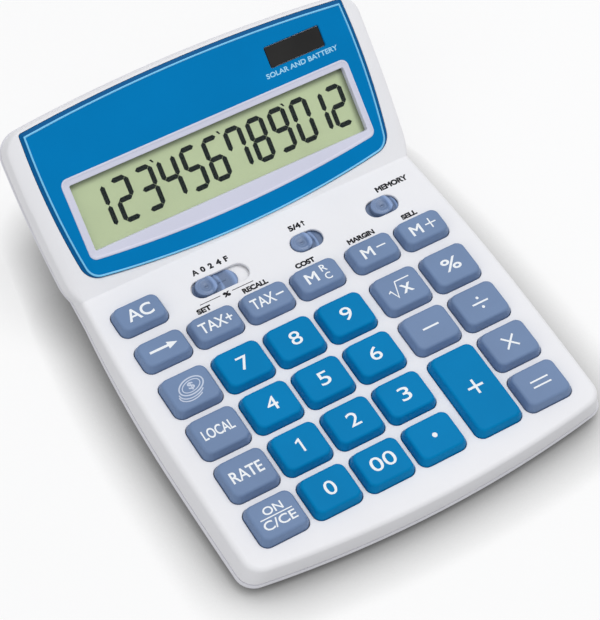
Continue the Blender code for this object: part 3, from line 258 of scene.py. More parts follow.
def swell(run, widest, front, neck):
    peak = -shell["deckRun"] * shell["widestShare"]
    if run < peak:
        return widest - (widest - front) * ((peak - run) / (shell["deckRun"] + peak)) ** 2
    return widest - (widest - neck) * ((run - peak) / -peak) ** 2


def deckEdge(run, drop):
    top = swell(run, shell["deckHalf"], shell["deckHalf"] - shell["frontDrawIn"], shell["neckHalf"])
    widest = shell["deckHalf"] + shell["skirtLean"]
    foot = swell(run, widest, widest - shell["frontDrawIn"], shell["neckHalf"] + shell["neckLean"])
    return top + (foot - top) * drop / shell["leanDepth"]


def headEdge(run):
    peak = shell["headRun"] * shell["headWidestShare"]
    flare = shell["headHalf"] - shell["headTaper"] - shell["neckHalf"] - shell["neckLean"]
    taper = shell["headTaper"] * (max(0, peak - run) / peak) ** 2
    return shell["headHalf"] - taper - flare * max(0, 1 - run / shell["neckRun"]) ** 2


def fillet(before, corner, after, radius, steps):
    back, on = before - corner, after - corner
    halfAngle = back.angle(on) / 2
    reach = min(radius / math.tan(halfAngle), 0.9 * back.length, 0.9 * on.length)
    radius = reach * math.tan(halfAngle)
    centre = corner + (back.normalized() + on.normalized()).normalized() * radius / math.sin(halfAngle)
    start = corner + back.normalized() * reach - centre
    end = corner + on.normalized() * reach - centre
    return [centre + start.slerp(end, i / steps).normalized() * radius for i in range(steps + 1)]


def spread(first, last, count):
    return [first + (last - first) * i / (count - 1) for i in range(count)]


def halfOutline(deckHalf, headHalf, front, back, backBow, frontRadius, backRadius):
    def frontRun(x):
        return front + shell["frontBow"] * (x / shell["deckHalf"]) ** 2

    def backRun(x):
        return back - backBow * (x / shell["panelHalf"]) ** 2

    frontX = deckHalf(frontRun(deckHalf(front)))
    backX = headHalf(backRun(headHalf(back)))
    frontCorner = Vector((frontX, frontRun(frontX)))
    backCorner = Vector((backX, backRun(backX)))
    bow = [Vector((frontX * s, frontRun(frontX * s))) for s in spread(0, 0.82, 12)]
    deck = [Vector((deckHalf(frontCorner.y * s), frontCorner.y * s)) for s in spread(0.85, 0.04, 18)]
    neck = [Vector((deckHalf(0), 0))]
    shares = spread(0.012, 0.11, 9) + spread(0.15, 0.7, 10)
    head = [Vector((headHalf(backCorner.y * s), backCorner.y * s)) for s in shares]
    crown = [Vector((backX * s, backRun(backX * s))) for s in spread(0.78, 0, 11)]
    first = fillet(bow[-1], frontCorner, deck[0], frontRadius, shell["roundSteps"])
    second = fillet(head[-1], backCorner, crown[0], backRadius, shell["roundSteps"])
    return bow + first + deck + neck + head + second + crown


def bothHalves(half):
    return half + [Vector((-point.x, *point[1:])) for point in reversed(half[1:-1])]


def skinRing(drop, inset, headDrop=None, headInset=None, flatShare=0):
    headDrop = drop if headDrop is None else headDrop
    headInset = inset if headInset is None else headInset
    half = halfOutline(
        lambda run: deckEdge(run, drop) - inset,
        lambda run: headEdge(run) - (headEdge(run) - shell["faceHalf"]) * flatShare - headInset,
        inset - shell["deckRun"] - shell["frontLean"] * drop / shell["leanDepth"],
        shell["faceRun"] + shell["crown"] * (1 - flatShare) - headInset,
        shell["topBow"],
        max(shell["frontRadius"] - inset, 0.5),
        max(shell["cornerRadius"] * (1 - flatShare) - headInset, shell["faceRadius"]),
    )
    points = []
    for x, run in half:
        blend = min(1, max(0, run) / shell["neckRun"])
        points.append(bent(x, run, drop + (headDrop - drop) * blend))
    return bothHalves(points)


def floorHalf(run):
    def under(place):
        nearness = 1 + place / shell["deckRun"]
        return deckEdge(place, shell["skirtDepth"]) - base["inset"] - (base["neckInset"] - base["inset"]) * nearness

    if run <= 0:
        return under(run)
    rear = shell["headHalf"] - base["rearInset"]
    return under(0) + (rear - under(0)) * run / base["rearRun"]


def floorRing(inset, z):
    half = halfOutline(
        lambda run: floorHalf(run) - inset,
        lambda run: floorHalf(run) - inset,
        inset + base["inset"] - shell["deckRun"],
        base["rearRun"] - inset,
        base["rearBow"],
        shell["frontRadius"] - inset,
        base["rearRadius"] - inset,
    )
    return bothHalves([Vector((x, y, z)) for x, y in half])


# A grid rolled into a tube: each row is one ring, and the seam is merged. It is closed at both ends, or
# into a hoop where its last ring is its first
def wrapped(name, rings, space, foldY=None):
    quiet()
    count = len(rings[0])
    bpy.ops.mesh.primitive_grid_add(x_subdivisions=count, y_subdivisions=len(rings) - 1)
    piece = named(name)
    points = [point for ring in rings for point in [*ring, ring[0]]]
    for vertex, point in zip(piece.data.vertices, points):
        vertex.co = point
    openEdit(piece, "VERT")
    bpy.ops.mesh.select_all(action="SELECT")
    bpy.ops.mesh.remove_doubles(threshold=1e-5)
    if rings[0] != rings[-1]:
        for ring in (rings[0], rings[-1]):
            closeEnd(piece, ring, foldY)
    bpy.ops.mesh.select_all(action="SELECT")
    bpy.ops.mesh.normals_make_consistent(inside=False)
    leaveEdit()
    piece.matrix_world = space @ Matrix.Scale(mm, 4)
    pick(piece)
    bpy.ops.object.transform_apply(location=True, rotation=True, scale=True)
    return piece


# The end is one face, or two that meet on the fold
def closeEnd(piece, ring, foldY):
    spots = {tuple(round(part, 3) for part in point) for point in ring}
    breaks = [None] if foldY is None else ["deck", "head"]
    for part in breaks:
        bpy.ops.mesh.select_all(action="DESELECT")
        form = bmesh.from_edit_mesh(piece.data)
        for vertex in form.verts:
            if tuple(round(value, 3) for value in vertex.co) not in spots:
                continue
            line = foldY(vertex.co) if foldY else 0
            vertex.select_set(part is None or (line < 1e-3 if part == "deck" else line > -1e-3))
        bmesh.update_edit_mesh(piece.data)
        bpy.ops.mesh.edge_face_add()


# How far a point lies past the mitre plane through the fold
def pastFold(point):
    middle = (fold["deck"] + fold["head"]) / 2
    return point.y * math.cos(middle) + point.z * math.sin(middle)


def makeUpperRings():
    rounds = []
    for i in range(7):
        turn = i / 6 * math.pi / 2
        part = i / 12
        drop = shell["edgeRadius"] * (1 - math.cos(turn))
        inset = shell["edgeRadius"] * (1 - math.sin(turn))
        rounds.append(skinRing(drop, inset, shell["shoulderDrop"] * part, 0, (1 - part) ** 3.4 if i else 1))
    wall = shell["wall"]
    return [
        *rounds,
        skinRing(shell["shoulderDrop"], 0),
        skinRing(shell["skirtDepth"] - 0.25, 0),
        skinRing(shell["skirtDepth"], 0.25),
        skinRing(shell["skirtDepth"], wall),
        skinRing(wall, wall, flatShare=0.3),
    ]


upper = wrapped("upper_shell", makeUpperRings(), caseSpace, pastFold)
print("upper shell wrapped", len(upper.data.polygons))


# Openings in the upper case

def roundedRing(width, depth, radius, z, centre, steps=8):
    radius = min(radius, width / 2, depth / 2)
    points = []
    for corner in range(4):
        turn = corner * math.pi / 2
        sideX = 1 if corner in (0, 3) else -1
        sideY = 1 if corner < 2 else -1
        middle = Vector((centre[0] + sideX * (width / 2 - radius), centre[1] + sideY * (depth / 2 - radius)))
        for i in range(steps + 1):
            angle = turn + i / steps * math.pi / 2
            points.append(Vector((middle.x + radius * math.cos(angle), middle.y + radius * math.sin(angle), z)))
    return points


# A cutter whose mouth flares, so that the rim it leaves is rounded over
def flared(name, width, depth, radius, centre, low, lip, space):
    rings = [roundedRing(width, depth, radius, low, centre)]
    for i in range(6):
        turn = i / 5 * math.pi / 2
        grow = lip * (1 - math.cos(turn))
        rings.append(roundedRing(width + 2 * grow, depth + 2 * grow, radius + grow, lip * (math.sin(turn) - 1), centre))
    rings.append(roundedRing(width + 2.02 * lip, depth + 2.02 * lip, radius + lip, 2, centre))
    return wrapped(name, rings, space)


def spanOn(node, space):
    back = space.inverted()
    points = [back @ vertex.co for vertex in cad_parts[node].data.vertices]
    low = Vector([min(point[i] for point in points) for i in range(3)]) / mm
    high = Vector([max(point[i] for point in points) for i in range(3)]) / mm
    return low, high


keyNodes = sorted(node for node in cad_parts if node.startswith("key_"))
keyShape = {
    "aperture": 18.5, "apertureRadius": 3.2, "gap": 0.3, "flange": 0.7, "flangeThick": 0.8, "wall": 1.1,
    "shoulder": 0.6, "top": 3.3, "drawIn": 0.9, "roof": 1.6, "stem": 3.6, "stemRadius": 1.0, "stemFoot": -4.0,
    "under": -2.5, "edge": 0.75, "lip": 0.25, "cornerSteps": 8, "edgeSteps": 5,
}
keyPlaces = {}
for node in keyNodes:
    low, high = spanOn(node, deckSpace)
    middle = (low + high) / 2
    depth = high.y - low.y - 2 * keyShape["flange"]
    keyPlaces[node] = (middle.x, middle.y, depth)

cutters = [
    flared("cut_" + node, keyShape["aperture"], depth + 2 * keyShape["gap"], keyShape["apertureRadius"],
           (x, run), -5, keyShape["lip"], deckSpace)
    for node, (x, run, depth) in keyPlaces.items()
]
cutAway(upper, together("cut_keys", cutters))
print("key openings cut", len(upper.data.polygons))

switchShape = {
    "width": 7.3, "lip": 0.35, "run": -14.4, "ceiling": -0.8, "pocket": 8.8, "plateTop": -0.95, "plateThick": 0.65,
    "plateWide": 8.2, "trayFloor": -1.75, "trayWall": 1.2, "trayThick": 1.2, "thumbWide": 7.0, "shoulder": 0.2,
    "top": 0.6, "round": 0.4, "ridge": 0.07, "ridgePitch": 1.2,
}
switches = {
    "decimal_slider": {"x": -19.9, "length": 21.9, "rest": -25.9, "thumb": (-3.5, 4.6), "plate": (-4.4, 12.4),
                       "moves": (0, 12)},
    "rounding_slider": {"x": 14.4, "length": 12.3, "rest": 13.2, "thumb": (-4.8, 3.1), "plate": (-7.9, 8.0),
                        "moves": (0, 3)},
    "memory_slider": {"x": 45.1, "length": 12.3, "rest": 45.3, "thumb": (-4.5, 3.8), "plate": (-8.4, 8.0),
                      "moves": (-1.5, 1.5)},
}


# A long round-ended ring, with points along its straight sides too
def pillRing(first, last, wide, height):
    radius = wide / 2
    low, high = first + radius, last - radius
    turns = [math.radians(-90 + 180 * i / 16) for i in range(17)]
    points = [(high + radius * math.cos(turn), radius * math.sin(turn)) for turn in turns]
    points += [(high + (low - high) * i / 12, radius) for i in range(1, 12)]
    points += [(low - radius * math.cos(turn), -radius * math.sin(turn)) for turn in turns]
    points += [(low + (high - low) * i / 12, -radius) for i in range(1, 12)]
    return [
        Vector((x, switchShape["run"] + y, height(x, y) if callable(height) else height)) for x, y in points
    ]


def plateReach(switch, spare):
    first = switch["rest"] + switch["plate"][0] + switch["moves"][0]
    last = switch["rest"] + switch["plate"][1] + switch["moves"][1]
    return first - spare, last + spare


def switchCutters():
    slots, pockets = [], []
    shape = switchShape
    for node, switch in switches.items():
        wide = shape["width"]
        first, last = switch["x"] - switch["length"] / 2, switch["x"] + switch["length"] / 2
        rings = [pillRing(first, last, wide, -5)]
        for i in range(5):
            turn = i / 4 * math.pi / 2
            grow = shape["lip"] * (1 - math.cos(turn))
            rings.append(pillRing(first - grow, last + grow, wide + 2 * grow, shape["lip"] * (math.sin(turn) - 1)))
        rings.append(pillRing(first - 0.36, last + 0.36, wide + 0.72, 2))
        slots.append(wrapped("slot_" + node, rings, deckSpace))
        pocket = [pillRing(*plateReach(switch, 0.4), shape["pocket"], z) for z in (-5, shape["ceiling"])]
        pockets.append(wrapped("pocket_" + node, pocket, deckSpace))
    return together("cut_slots", slots), together("cut_pockets", pockets)


for cutter in switchCutters():
    cutAway(upper, cutter)
print("switch slots cut", len(upper.data.polygons))

panel = {
    "foot": 1.3, "top": 62.5, "half": 63.1, "topBow": 3.1, "footBow": 4.7, "footDrawIn": 4.0, "topDrawIn": 0.6,
    "radius": 6.5, "topRadius": 0.9, "widestShare": 0.72, "recess": 1.0, "gap": 0.3, "chamfer": 1.35, "face": 0.42,
    "bead": 0.34,
}


def panelRing(grow, z, footGrow=None):
    low, high = panel["foot"] - (grow if footGrow is None else footGrow), panel["top"] + grow
    widest = panel["foot"] + (panel["top"] - panel["foot"]) * panel["widestShare"]

    def half(run):
        below = max(0, widest - run) / (widest - panel["foot"])
        above = max(0, run - widest) / (panel["top"] - widest)
        return panel["half"] - panel["footDrawIn"] * below ** 2 - panel["topDrawIn"] * above ** 2 + grow

    footCorner = Vector((half(low + panel["footBow"]), low + panel["footBow"]))
    topCorner = Vector((half(high - panel["topBow"]), high - panel["topBow"]))
    foot = [Vector((footCorner.x * s, low + panel["footBow"] * s ** 2)) for s in spread(0, 0.82, 12)]
    side = [Vector((half(run), run)) for run in
            (footCorner.y + (topCorner.y - footCorner.y) * s for s in spread(0.15, 0.85, 14))]
    top = [Vector((topCorner.x * s, high - panel["topBow"] * s ** 2)) for s in spread(0.78, 0, 10)]
    first = fillet(foot[-1], footCorner, side[0], panel["radius"] + grow, shell["roundSteps"])
    second = fillet(side[-1], topCorner, top[0], max(panel["topRadius"] + grow, 0.35), 4)
    return bothHalves([Vector((x, run, z)) for x, run in foot + first + side + second + top])


recess = wrapped("cut_recess", [
    panelRing(panel["gap"], -panel["recess"]), panelRing(panel["gap"], -0.25),
    panelRing(panel["gap"] + 0.07, -0.07), panelRing(panel["gap"] + 0.25, 0), panelRing(panel["gap"] + 0.26, 2),
], headSpace)
cutAway(upper, recess)

display = {
    "half": 56.4, "foot": 11.3, "footBow": 3.4, "top": 40.1, "radius": 2.6, "lcdDrop": 1.9, "solarWidth": 22.0,
    "solarHeight": 7.7, "solarRun": 50.5, "solarX": 40.2, "solarRadius": 0.6,
}


# Four sides and four rounded corners; the foot bows towards the keys
def bowedRing(half, foot, top, bow, radius, z, shift=0.0):
    middle = Vector((half, (foot + top) / 2))
    below = [Vector((half * s, foot - bow * (1 - s * s))) for s in spread(0, 0.9, 16)]
    above = [Vector((half * s, top)) for s in spread(0.9, 0, 6)]
    first = fillet(below[-1], Vector((half, foot)), middle, radius, 8)
    second = fillet(middle, Vector((half, top)), above[0], radius, 8)
    ring = bothHalves([Vector((x, run, z)) for x, run in below + first + second + above])
    return [Vector((point.x + shift, point.y, point.z)) for point in ring]


def displayRing(grow, z):
    return bowedRing(display["half"] + grow, display["foot"] - grow, display["top"] + grow, display["footBow"],
                     display["radius"] + grow, z)


cutAway(upper, wrapped("cut_window", [displayRing(0, -5), displayRing(0, 1)], headSpace))
print("display opening cut", len(upper.data.polygons))
smooth(upper)
dress(upper, finishes["caseWhite"], "housing", ["upper_case"])


# Lower case

def makeLowerRings():
    lipDrop = shell["skirtDepth"] + base["gap"]
    foot = lipDrop + base["lipDepth"]
    tongue = shell["wall"] + base["gap"]
    rounds = [
        floorRing(base["lipRound"] * (1 - math.sin(i / 4 * math.pi / 2)),
                  base["floorZ"] + base["lipRound"] * (1 - math.cos(i / 4 * math.pi / 2)))
        for i in range(5)
    ]
    bead = []
    for i in range(7):
        turn = i / 6 * math.pi
        bead.append(skinRing(foot + 0.2 - (base["lipDepth"] + 0.2) * (1 - math.cos(turn)) / 2,
                             0.5 - (base["lipProud"] + 0.5) * math.sin(turn) ** 0.7))
    return [
        *rounds,
        skinRing(foot + base["lipRound"], base["lipTuck"]),
        *bead,
        skinRing(lipDrop, tongue),
        skinRing(lipDrop - base["tongueRise"], tongue),
        skinRing(lipDrop - base["tongueRise"], tongue + base["tongue"]),
        skinRing(foot, tongue + base["tongue"]),
        floorRing(shell["wall"], base["floorZ"] + base["floor"]),
    ]


lower = wrapped("lower_shell", makeLowerRings(), caseSpace)
print("lower shell wrapped", len(lower.data.polygons))


# Underside: seats for the feet, wells for the screws and the opening for the battery door

underside = {
    "footSeat": 4.9, "footSeatDeep": 0.8, "well": 2.25, "headTall": 1.2, "post": 3.6, "postRoof": 1.6, "shankHole": 1.35,
    "boss": 2.9, "bossHole": 1.05, "doorGap": 0.3, "doorRadius": 2.0, "doorSeatWall": 1.5, "skinUnder": 2.0,
}


def circleRing(radius, z, at):
    return roundedRing(2 * radius, 2 * radius, radius, z, at)


def placed(node):
    low, high = spanOn(node, caseSpace)
    return ((low.x + high.x) / 2, (low.y + high.y) / 2), low, high


footNodes = sorted(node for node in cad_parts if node.startswith("foot"))
screwNodes = sorted(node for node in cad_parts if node.startswith("screw"))
caseScrews = [node for node in screwNodes if "battery" not in node]
cutters = []
for node in footNodes:
    at, low, high = placed(node)
    depth = base["floorZ"] + underside["footSeatDeep"]
    seat = [circleRing(underside["footSeat"], z, at) for z in (base["floorZ"] - 3, depth)]
    cutters.append(wrapped("cut_seat", seat, caseSpace))
for node in caseScrews:
    at, low, high = placed(node)
    well = [circleRing(underside["well"] + grow, z, at) for z, grow in
            ((base["floorZ"] - 3, 0.5), (base["floorZ"], 0.5), (base["floorZ"] + 0.5, 0), (base["floorZ"] + 3, 0))]
    cutters.append(wrapped("cut_well", well, caseSpace))
doorAt, doorLow, doorHigh = placed("battery_door")
doorWide = doorHigh.x - doorLow.x
doorDeep = doorHigh.y - doorLow.y
gap = 2 * underside["doorGap"]
doorway = [roundedRing(doorWide + gap, doorDeep + gap, underside["doorRadius"] + 0.3, z, doorAt)
           for z in (base["floorZ"] - 3, base["floorZ"] + 3)]
cutters.append(wrapped("cut_doorway", doorway, caseSpace))
cutAway(lower, together("cut_underside", cutters))
smooth(lower)
dress(lower, finishes["baseWhite"], "housing", ["lower_case"])


# Tubes and walls inside the case, hidden once it is closed
def makePosts():
    posts, bosses = [], []
    for node in caseScrews:
        at, low, high = placed(node)
        seat = low.z + underside["headTall"]
        roof = seat + underside["postRoof"]
        foot = base["floorZ"] + 0.9
        tube = [
            circleRing(underside["post"], foot, at), circleRing(underside["post"] - 0.25, roof, at),
            circleRing(underside["shankHole"], roof, at), circleRing(underside["shankHole"], seat, at),
            circleRing(underside["well"], seat, at), circleRing(underside["well"], foot, at),
        ]
        posts.append(wrapped("post", [*tube, tube[0]], caseSpace))
        tilt = math.tan(fold["head"] if at[1] > 0 else fold["deck"])
        under = [tilt * (at[1] + side * underside["boss"]) - underside["skinUnder"] / math.cos(math.atan(tilt))
                 for side in (-1, 1)]
        outer, inner = underside["boss"], underside["bossHole"]

        def sloped(radius):
            return [Vector((point.x, point.y, under[0] + (under[1] - under[0]) * (point.y - at[1] + outer) / (2 * outer)))
                    for point in circleRing(radius, 0, at)]

        tube = [circleRing(outer, roof + 0.05, at), sloped(outer), sloped(inner), circleRing(inner, roof + 0.05, at)]
        bosses.append(wrapped("boss", [*tube, tube[0]], caseSpace))
    wall = underside["doorSeatWall"]
    low, high = base["floorZ"] + 0.9, placed("button_cell")[2].z
    rim = [
        roundedRing(doorWide + gap + 2 * wall, doorDeep + gap + 2 * wall, 3.5, low, doorAt),
        roundedRing(doorWide + gap + 2 * wall, doorDeep + gap + 2 * wall, 3.5, high, doorAt),
        roundedRing(doorWide + gap, doorDeep + gap, 2.3, high, doorAt),
        roundedRing(doorWide + gap, doorDeep + gap, 2.3, low, doorAt),
    ]
    posts.append(wrapped("cell_wall", [*rim, rim[0]], caseSpace))
    return together("case_posts", posts), together("case_bosses", bosses)


for piece, finish in zip(makePosts(), ("baseWhite", "caseWhite")):
    smooth(piece)
    dress(piece, finishes[finish], "housing")


def makeFoot(node):
    at, low, high = placed(node)
    rings = [
        circleRing(4.6, high.z, at), circleRing(4.6, low.z + 0.35, at), circleRing(4.52, low.z + 0.12, at),
        circleRing(4.25, low.z, at), circleRing(3.35, low.z, at), circleRing(3.25, low.z + 0.3, at),
        circleRing(2.35, low.z + 0.3, at), circleRing(2.25, low.z, at), circleRing(1.35, low.z, at),
        circleRing(1.25, low.z + 0.3, at),
    ]
    piece = wrapped("pad_" + node, rings, caseSpace)
    smooth(piece)
    dress(piece, finishes["footBlack"], "housing", [node])


def makeScrew(node):
    at, low, high = placed(node)
    head = (high.x - low.x) / 2
    seat = low.z + underside["headTall"]
    rings = [circleRing(head * share, low.z + rise, at) for share, rise in
             ((0.62, 0), (0.8, 0.06), (0.93, 0.25), (0.99, 0.55), (1, 0.8), (1, underside["headTall"]))]
    rings.append(circleRing(0.95, seat, at))
    turns = int((high.z - seat - 1.2) / 0.25)
    rings += [circleRing(0.98 if i % 2 else 0.76, seat + 0.25 * (i + 1), at) for i in range(turns)]
    rings.append(circleRing(0.2, high.z, at))
    piece = wrapped("fastener_" + node, rings, caseSpace)
    cross = []
    for turn in (0, math.pi / 2):
        quiet()
        bpy.ops.mesh.primitive_cube_add(size=mm)
        blade = named("blade")
        blade.scale = (head * 1.15, 0.34, 1.3)
        blade.rotation_euler = (0, 0, turn)
        blade.location = Vector((at[0], at[1], low.z)) * mm
        bpy.ops.object.transform_apply(location=True, rotation=True, scale=True)
        layOn(blade, caseSpace)
        cross.append(blade)
    for blade in cross:
        cutAway(piece, blade)
    smooth(piece, 40)
    dress(piece, finishes["screwSteel"], "housing", [node])


for node in footNodes:
    makeFoot(node)
for node in screwNodes:
    makeScrew(node)


# The door: a thin plate with a chamfered edge, a sunk screw and three ribs to slide a nail along
def makeDoor():
    thick = doorHigh.z - doorLow.z
    rings = [
        roundedRing(doorWide - 0.5, doorDeep - 0.5, underside["doorRadius"] - 0.2, doorLow.z, doorAt),
        roundedRing(doorWide - 0.1, doorDeep - 0.1, underside["doorRadius"], doorLow.z + 0.25, doorAt),
        roundedRing(doorWide, doorDeep, underside["doorRadius"], doorLow.z + 0.5, doorAt),
        roundedRing(doorWide, doorDeep, underside["doorRadius"], doorLow.z + thick, doorAt),
    ]
    door = wrapped("battery_hatch", rings, caseSpace)
    at, low, high = placed("screw_battery_door")
    seat = low.z + underside["headTall"]
    well = [circleRing(2.65, doorLow.z - 1, at), circleRing(2.65, doorLow.z, at), circleRing(2.25, doorLow.z + 0.4, at),
            circleRing(2.25, seat, at), circleRing(1.2, seat, at), circleRing(1.2, doorHigh.z + 1, at)]
    cutters = [wrapped("cut_door_well", well, caseSpace)]
    for i in range(5):
        spot = (doorLow.x + 2.4 + 0.9 * i, doorAt[1])
        groove = [roundedRing(0.4, 9.0, 0.2, z, spot, 3) for z in (doorLow.z - 1, doorLow.z + 0.35)]
        cutters.append(wrapped("cut_groove", groove, caseSpace))
    cutAway(door, together("cut_hatch", cutters))
    smooth(door)
    dress(door, finishes["baseWhite"], "housing", ["battery_door"])


makeDoor()
print("underside made", len(lower.data.polygons))


# Keys: one cap of each size, shaped from a cube, and a copy of it for each key

def vertical(first, second):
    return abs(first.x - second.x) < 1e-6 and abs(first.y - second.y) < 1e-6


def scaleBy(wide, deep, newWide, newDeep):
    bpy.ops.transform.resize(value=(newWide / wide, newDeep / deep, 1))


def sink(distance):
    bpy.ops.mesh.extrude_region_move(TRANSFORM_OT_translate={"value": (0, 0, distance * mm)})


def keyCap(name, depth):
    shape = keyShape
    wide = shape["aperture"] - 2 * shape["gap"]
    quiet()
    tall = shape["shoulder"] - shape["under"]
    bpy.ops.mesh.primitive_cube_add(size=mm, location=(0, 0, (shape["shoulder"] + shape["under"]) / 2 * mm))
    cap = named(name)
    cap.scale = (wide, depth, tall)
    bpy.ops.object.transform_apply(location=True, rotation=True, scale=True)
    chooseEdges(cap, vertical)
    radius = shape["apertureRadius"] - shape["gap"]
    bpy.ops.mesh.bevel(offset=radius * mm, segments=shape["cornerSteps"], affect="EDGES")
    chooseFaces(cap, lambda middle, normal: normal.z > 0.9)
    sink(shape["top"] - shape["shoulder"])
    draw = 2 * shape["drawIn"]
    scaleBy(wide, depth, wide - draw, depth - draw)
    flange = 2 * shape["flange"]
    chooseFaces(cap, lambda middle, normal: normal.z < -0.9)
    sink(0)
    scaleBy(wide, depth, wide + flange, depth + flange)
    sink(-shape["flangeThick"])
    hollow = 2 * shape["wall"]
    sink(0)
    scaleBy(wide + flange, depth + flange, wide - hollow, depth - hollow)
    sink(shape["top"] - shape["roof"] - shape["under"] + shape["flangeThick"])
    scaleBy(wide - hollow, depth - hollow, wide - hollow - draw, depth - hollow - draw)
    sink(0)
    scaleBy(wide - hollow - draw, depth - hollow - draw, shape["stem"], shape["stem"])
    sink(shape["stemFoot"] - shape["top"] + shape["roof"])
    topZ = (shape["top"] - 0.01) * mm
    chooseEdges(cap, lambda first, second: first.z > topZ and second.z > topZ)
    bpy.ops.mesh.bevel(offset=shape["edge"] * mm, segments=shape["edgeSteps"], affect="EDGES")
    leaveEdit()
    return cap


blueKeys = ("key_0", "key_00", "key_1", "key_2", "key_3", "key_4", "key_5", "key_6", "key_7", "key_8", "key_9",
            "key_point", "key_plus")
caps = {}
for node, (x, run, depth) in keyPlaces.items():
    size = round(depth, 1)
    if size not in caps:
        caps[size] = keyCap("cap_" + str(size).replace(".", "_"), size)
    source = caps[size]
    key = bpy.data.objects.new("cap_of_" + node, source.data.copy())
    bpy.context.scene.collection.objects.link(key)
    layOn(key, deckSpace @ Matrix.Translation((x * mm, run * mm, 0)))
    smooth(key, 30)
    blue = node in blueKeys
    dress(key, finishes["keyBlue" if blue else "keyGrey"], node, [node])
for source in caps.values():
    bpy.data.objects.remove(source, do_unlink=True)
print("keys set", len(keyPlaces))


# Printing: flat marks, raised a little from their plane

def raised(piece, height, thick, weight=0.0):
    openEdit(piece, "FACE")
    bpy.ops.mesh.select_all(action="SELECT")
    bpy.ops.mesh.remove_doubles(threshold=1e-6)
    bpy.ops.mesh.extrude_region_move(TRANSFORM_OT_translate={"value": (0, 0, thick * mm)})
    bpy.ops.mesh.select_all(action="SELECT")
    bpy.ops.mesh.normals_make_consistent(inside=False)
    if weight:
        bpy.ops.transform.shrink_fatten(value=weight * mm, use_even_offset=True)
    leaveEdit()
    for vertex in piece.data.vertices:
        vertex.co.z = (height if vertex.co.z < (height + thick / 2) * mm else height + thick) * mm
    return piece


def lettering(words, wide, tall, centre, height, weight=0.1, thick=0.02):
    quiet()
    bpy.ops.object.text_add()
    letters = named("letters")
    letters.data.body = words
    letters.data.resolution_u = 5
    bpy.ops.object.convert(target="MESH")
    letters = bpy.context.object
    corners = [vertex.co for vertex in letters.data.vertices]
    low = Vector([min(corner[i] for corner in corners) for i in range(2)])
    high = Vector([max(corner[i] for corner in corners) for i in range(2)])
    middle = (low + high) / 2
    stretch = ((wide - 2 * weight) / (high.x - low.x), (tall - 2 * weight) / (high.y - low.y))
    for vertex in letters.data.vertices:
        vertex.co = Vector((
            (vertex.co.x - middle.x) * stretch[0] + centre[0], (vertex.co.y - middle.y) * stretch[1] + centre[1], height,
        )) * mm
    return raised(letters, height, thick, weight)


def patch(corners, height, thick=0.02):
    quiet()
    bpy.ops.mesh.primitive_circle_add(vertices=len(corners), radius=1, fill_type="NGON")
    piece = named("patch")
    for vertex, corner in zip(piece.data.vertices, corners):
        vertex.co = Vector((corner[0], corner[1], height)) * mm
    return raised(piece, height, thick)


# A band of even width along a line of points; a line that ends where it starts is closed
def strip(points, wide, height, thick=0.02):
    quiet()
    points = [Vector(point) for point in points]
    closed = (points[0] - points[-1]).length < 1e-6
    bpy.ops.mesh.primitive_grid_add(x_subdivisions=len(points) - 1, y_subdivisions=1)
    piece = named("strip")
    sides = []
    for index, point in enumerate(points):
        ways = []
        if index or closed:
            ways.append((point - points[index - 1 if index else -2]).normalized())
        if index + 1 < len(points) or closed:
            ways.append((points[index + 1 if index + 1 < len(points) else 1] - point).normalized())
        way = sum(ways, Vector((0, 0))).normalized()
        sides.append(Vector((-way.y, way.x)) * wide / 2 / max(0.5, way.dot(ways[0])))
    rows = [point - side for point, side in zip(points, sides)] + [point + side for point, side in zip(points, sides)]
    for vertex, corner in zip(piece.data.vertices, rows):
        vertex.co = Vector((corner.x, corner.y, height)) * mm
    return raised(piece, height, thick)


def oval(middle, radiusX, radiusY, turn=0, first=0, last=360, steps=28):
    points = []
    lean = math.radians(turn)
    for i in range(steps + 1):
        angle = math.radians(first + (last - first) * i / steps)
        x, y = radiusX * math.cos(angle), radiusY * math.sin(angle)
        points.append((middle[0] + x * math.cos(lean) - y * math.sin(lean),
                       middle[1] + x * math.sin(lean) + y * math.cos(lean)))
    return points


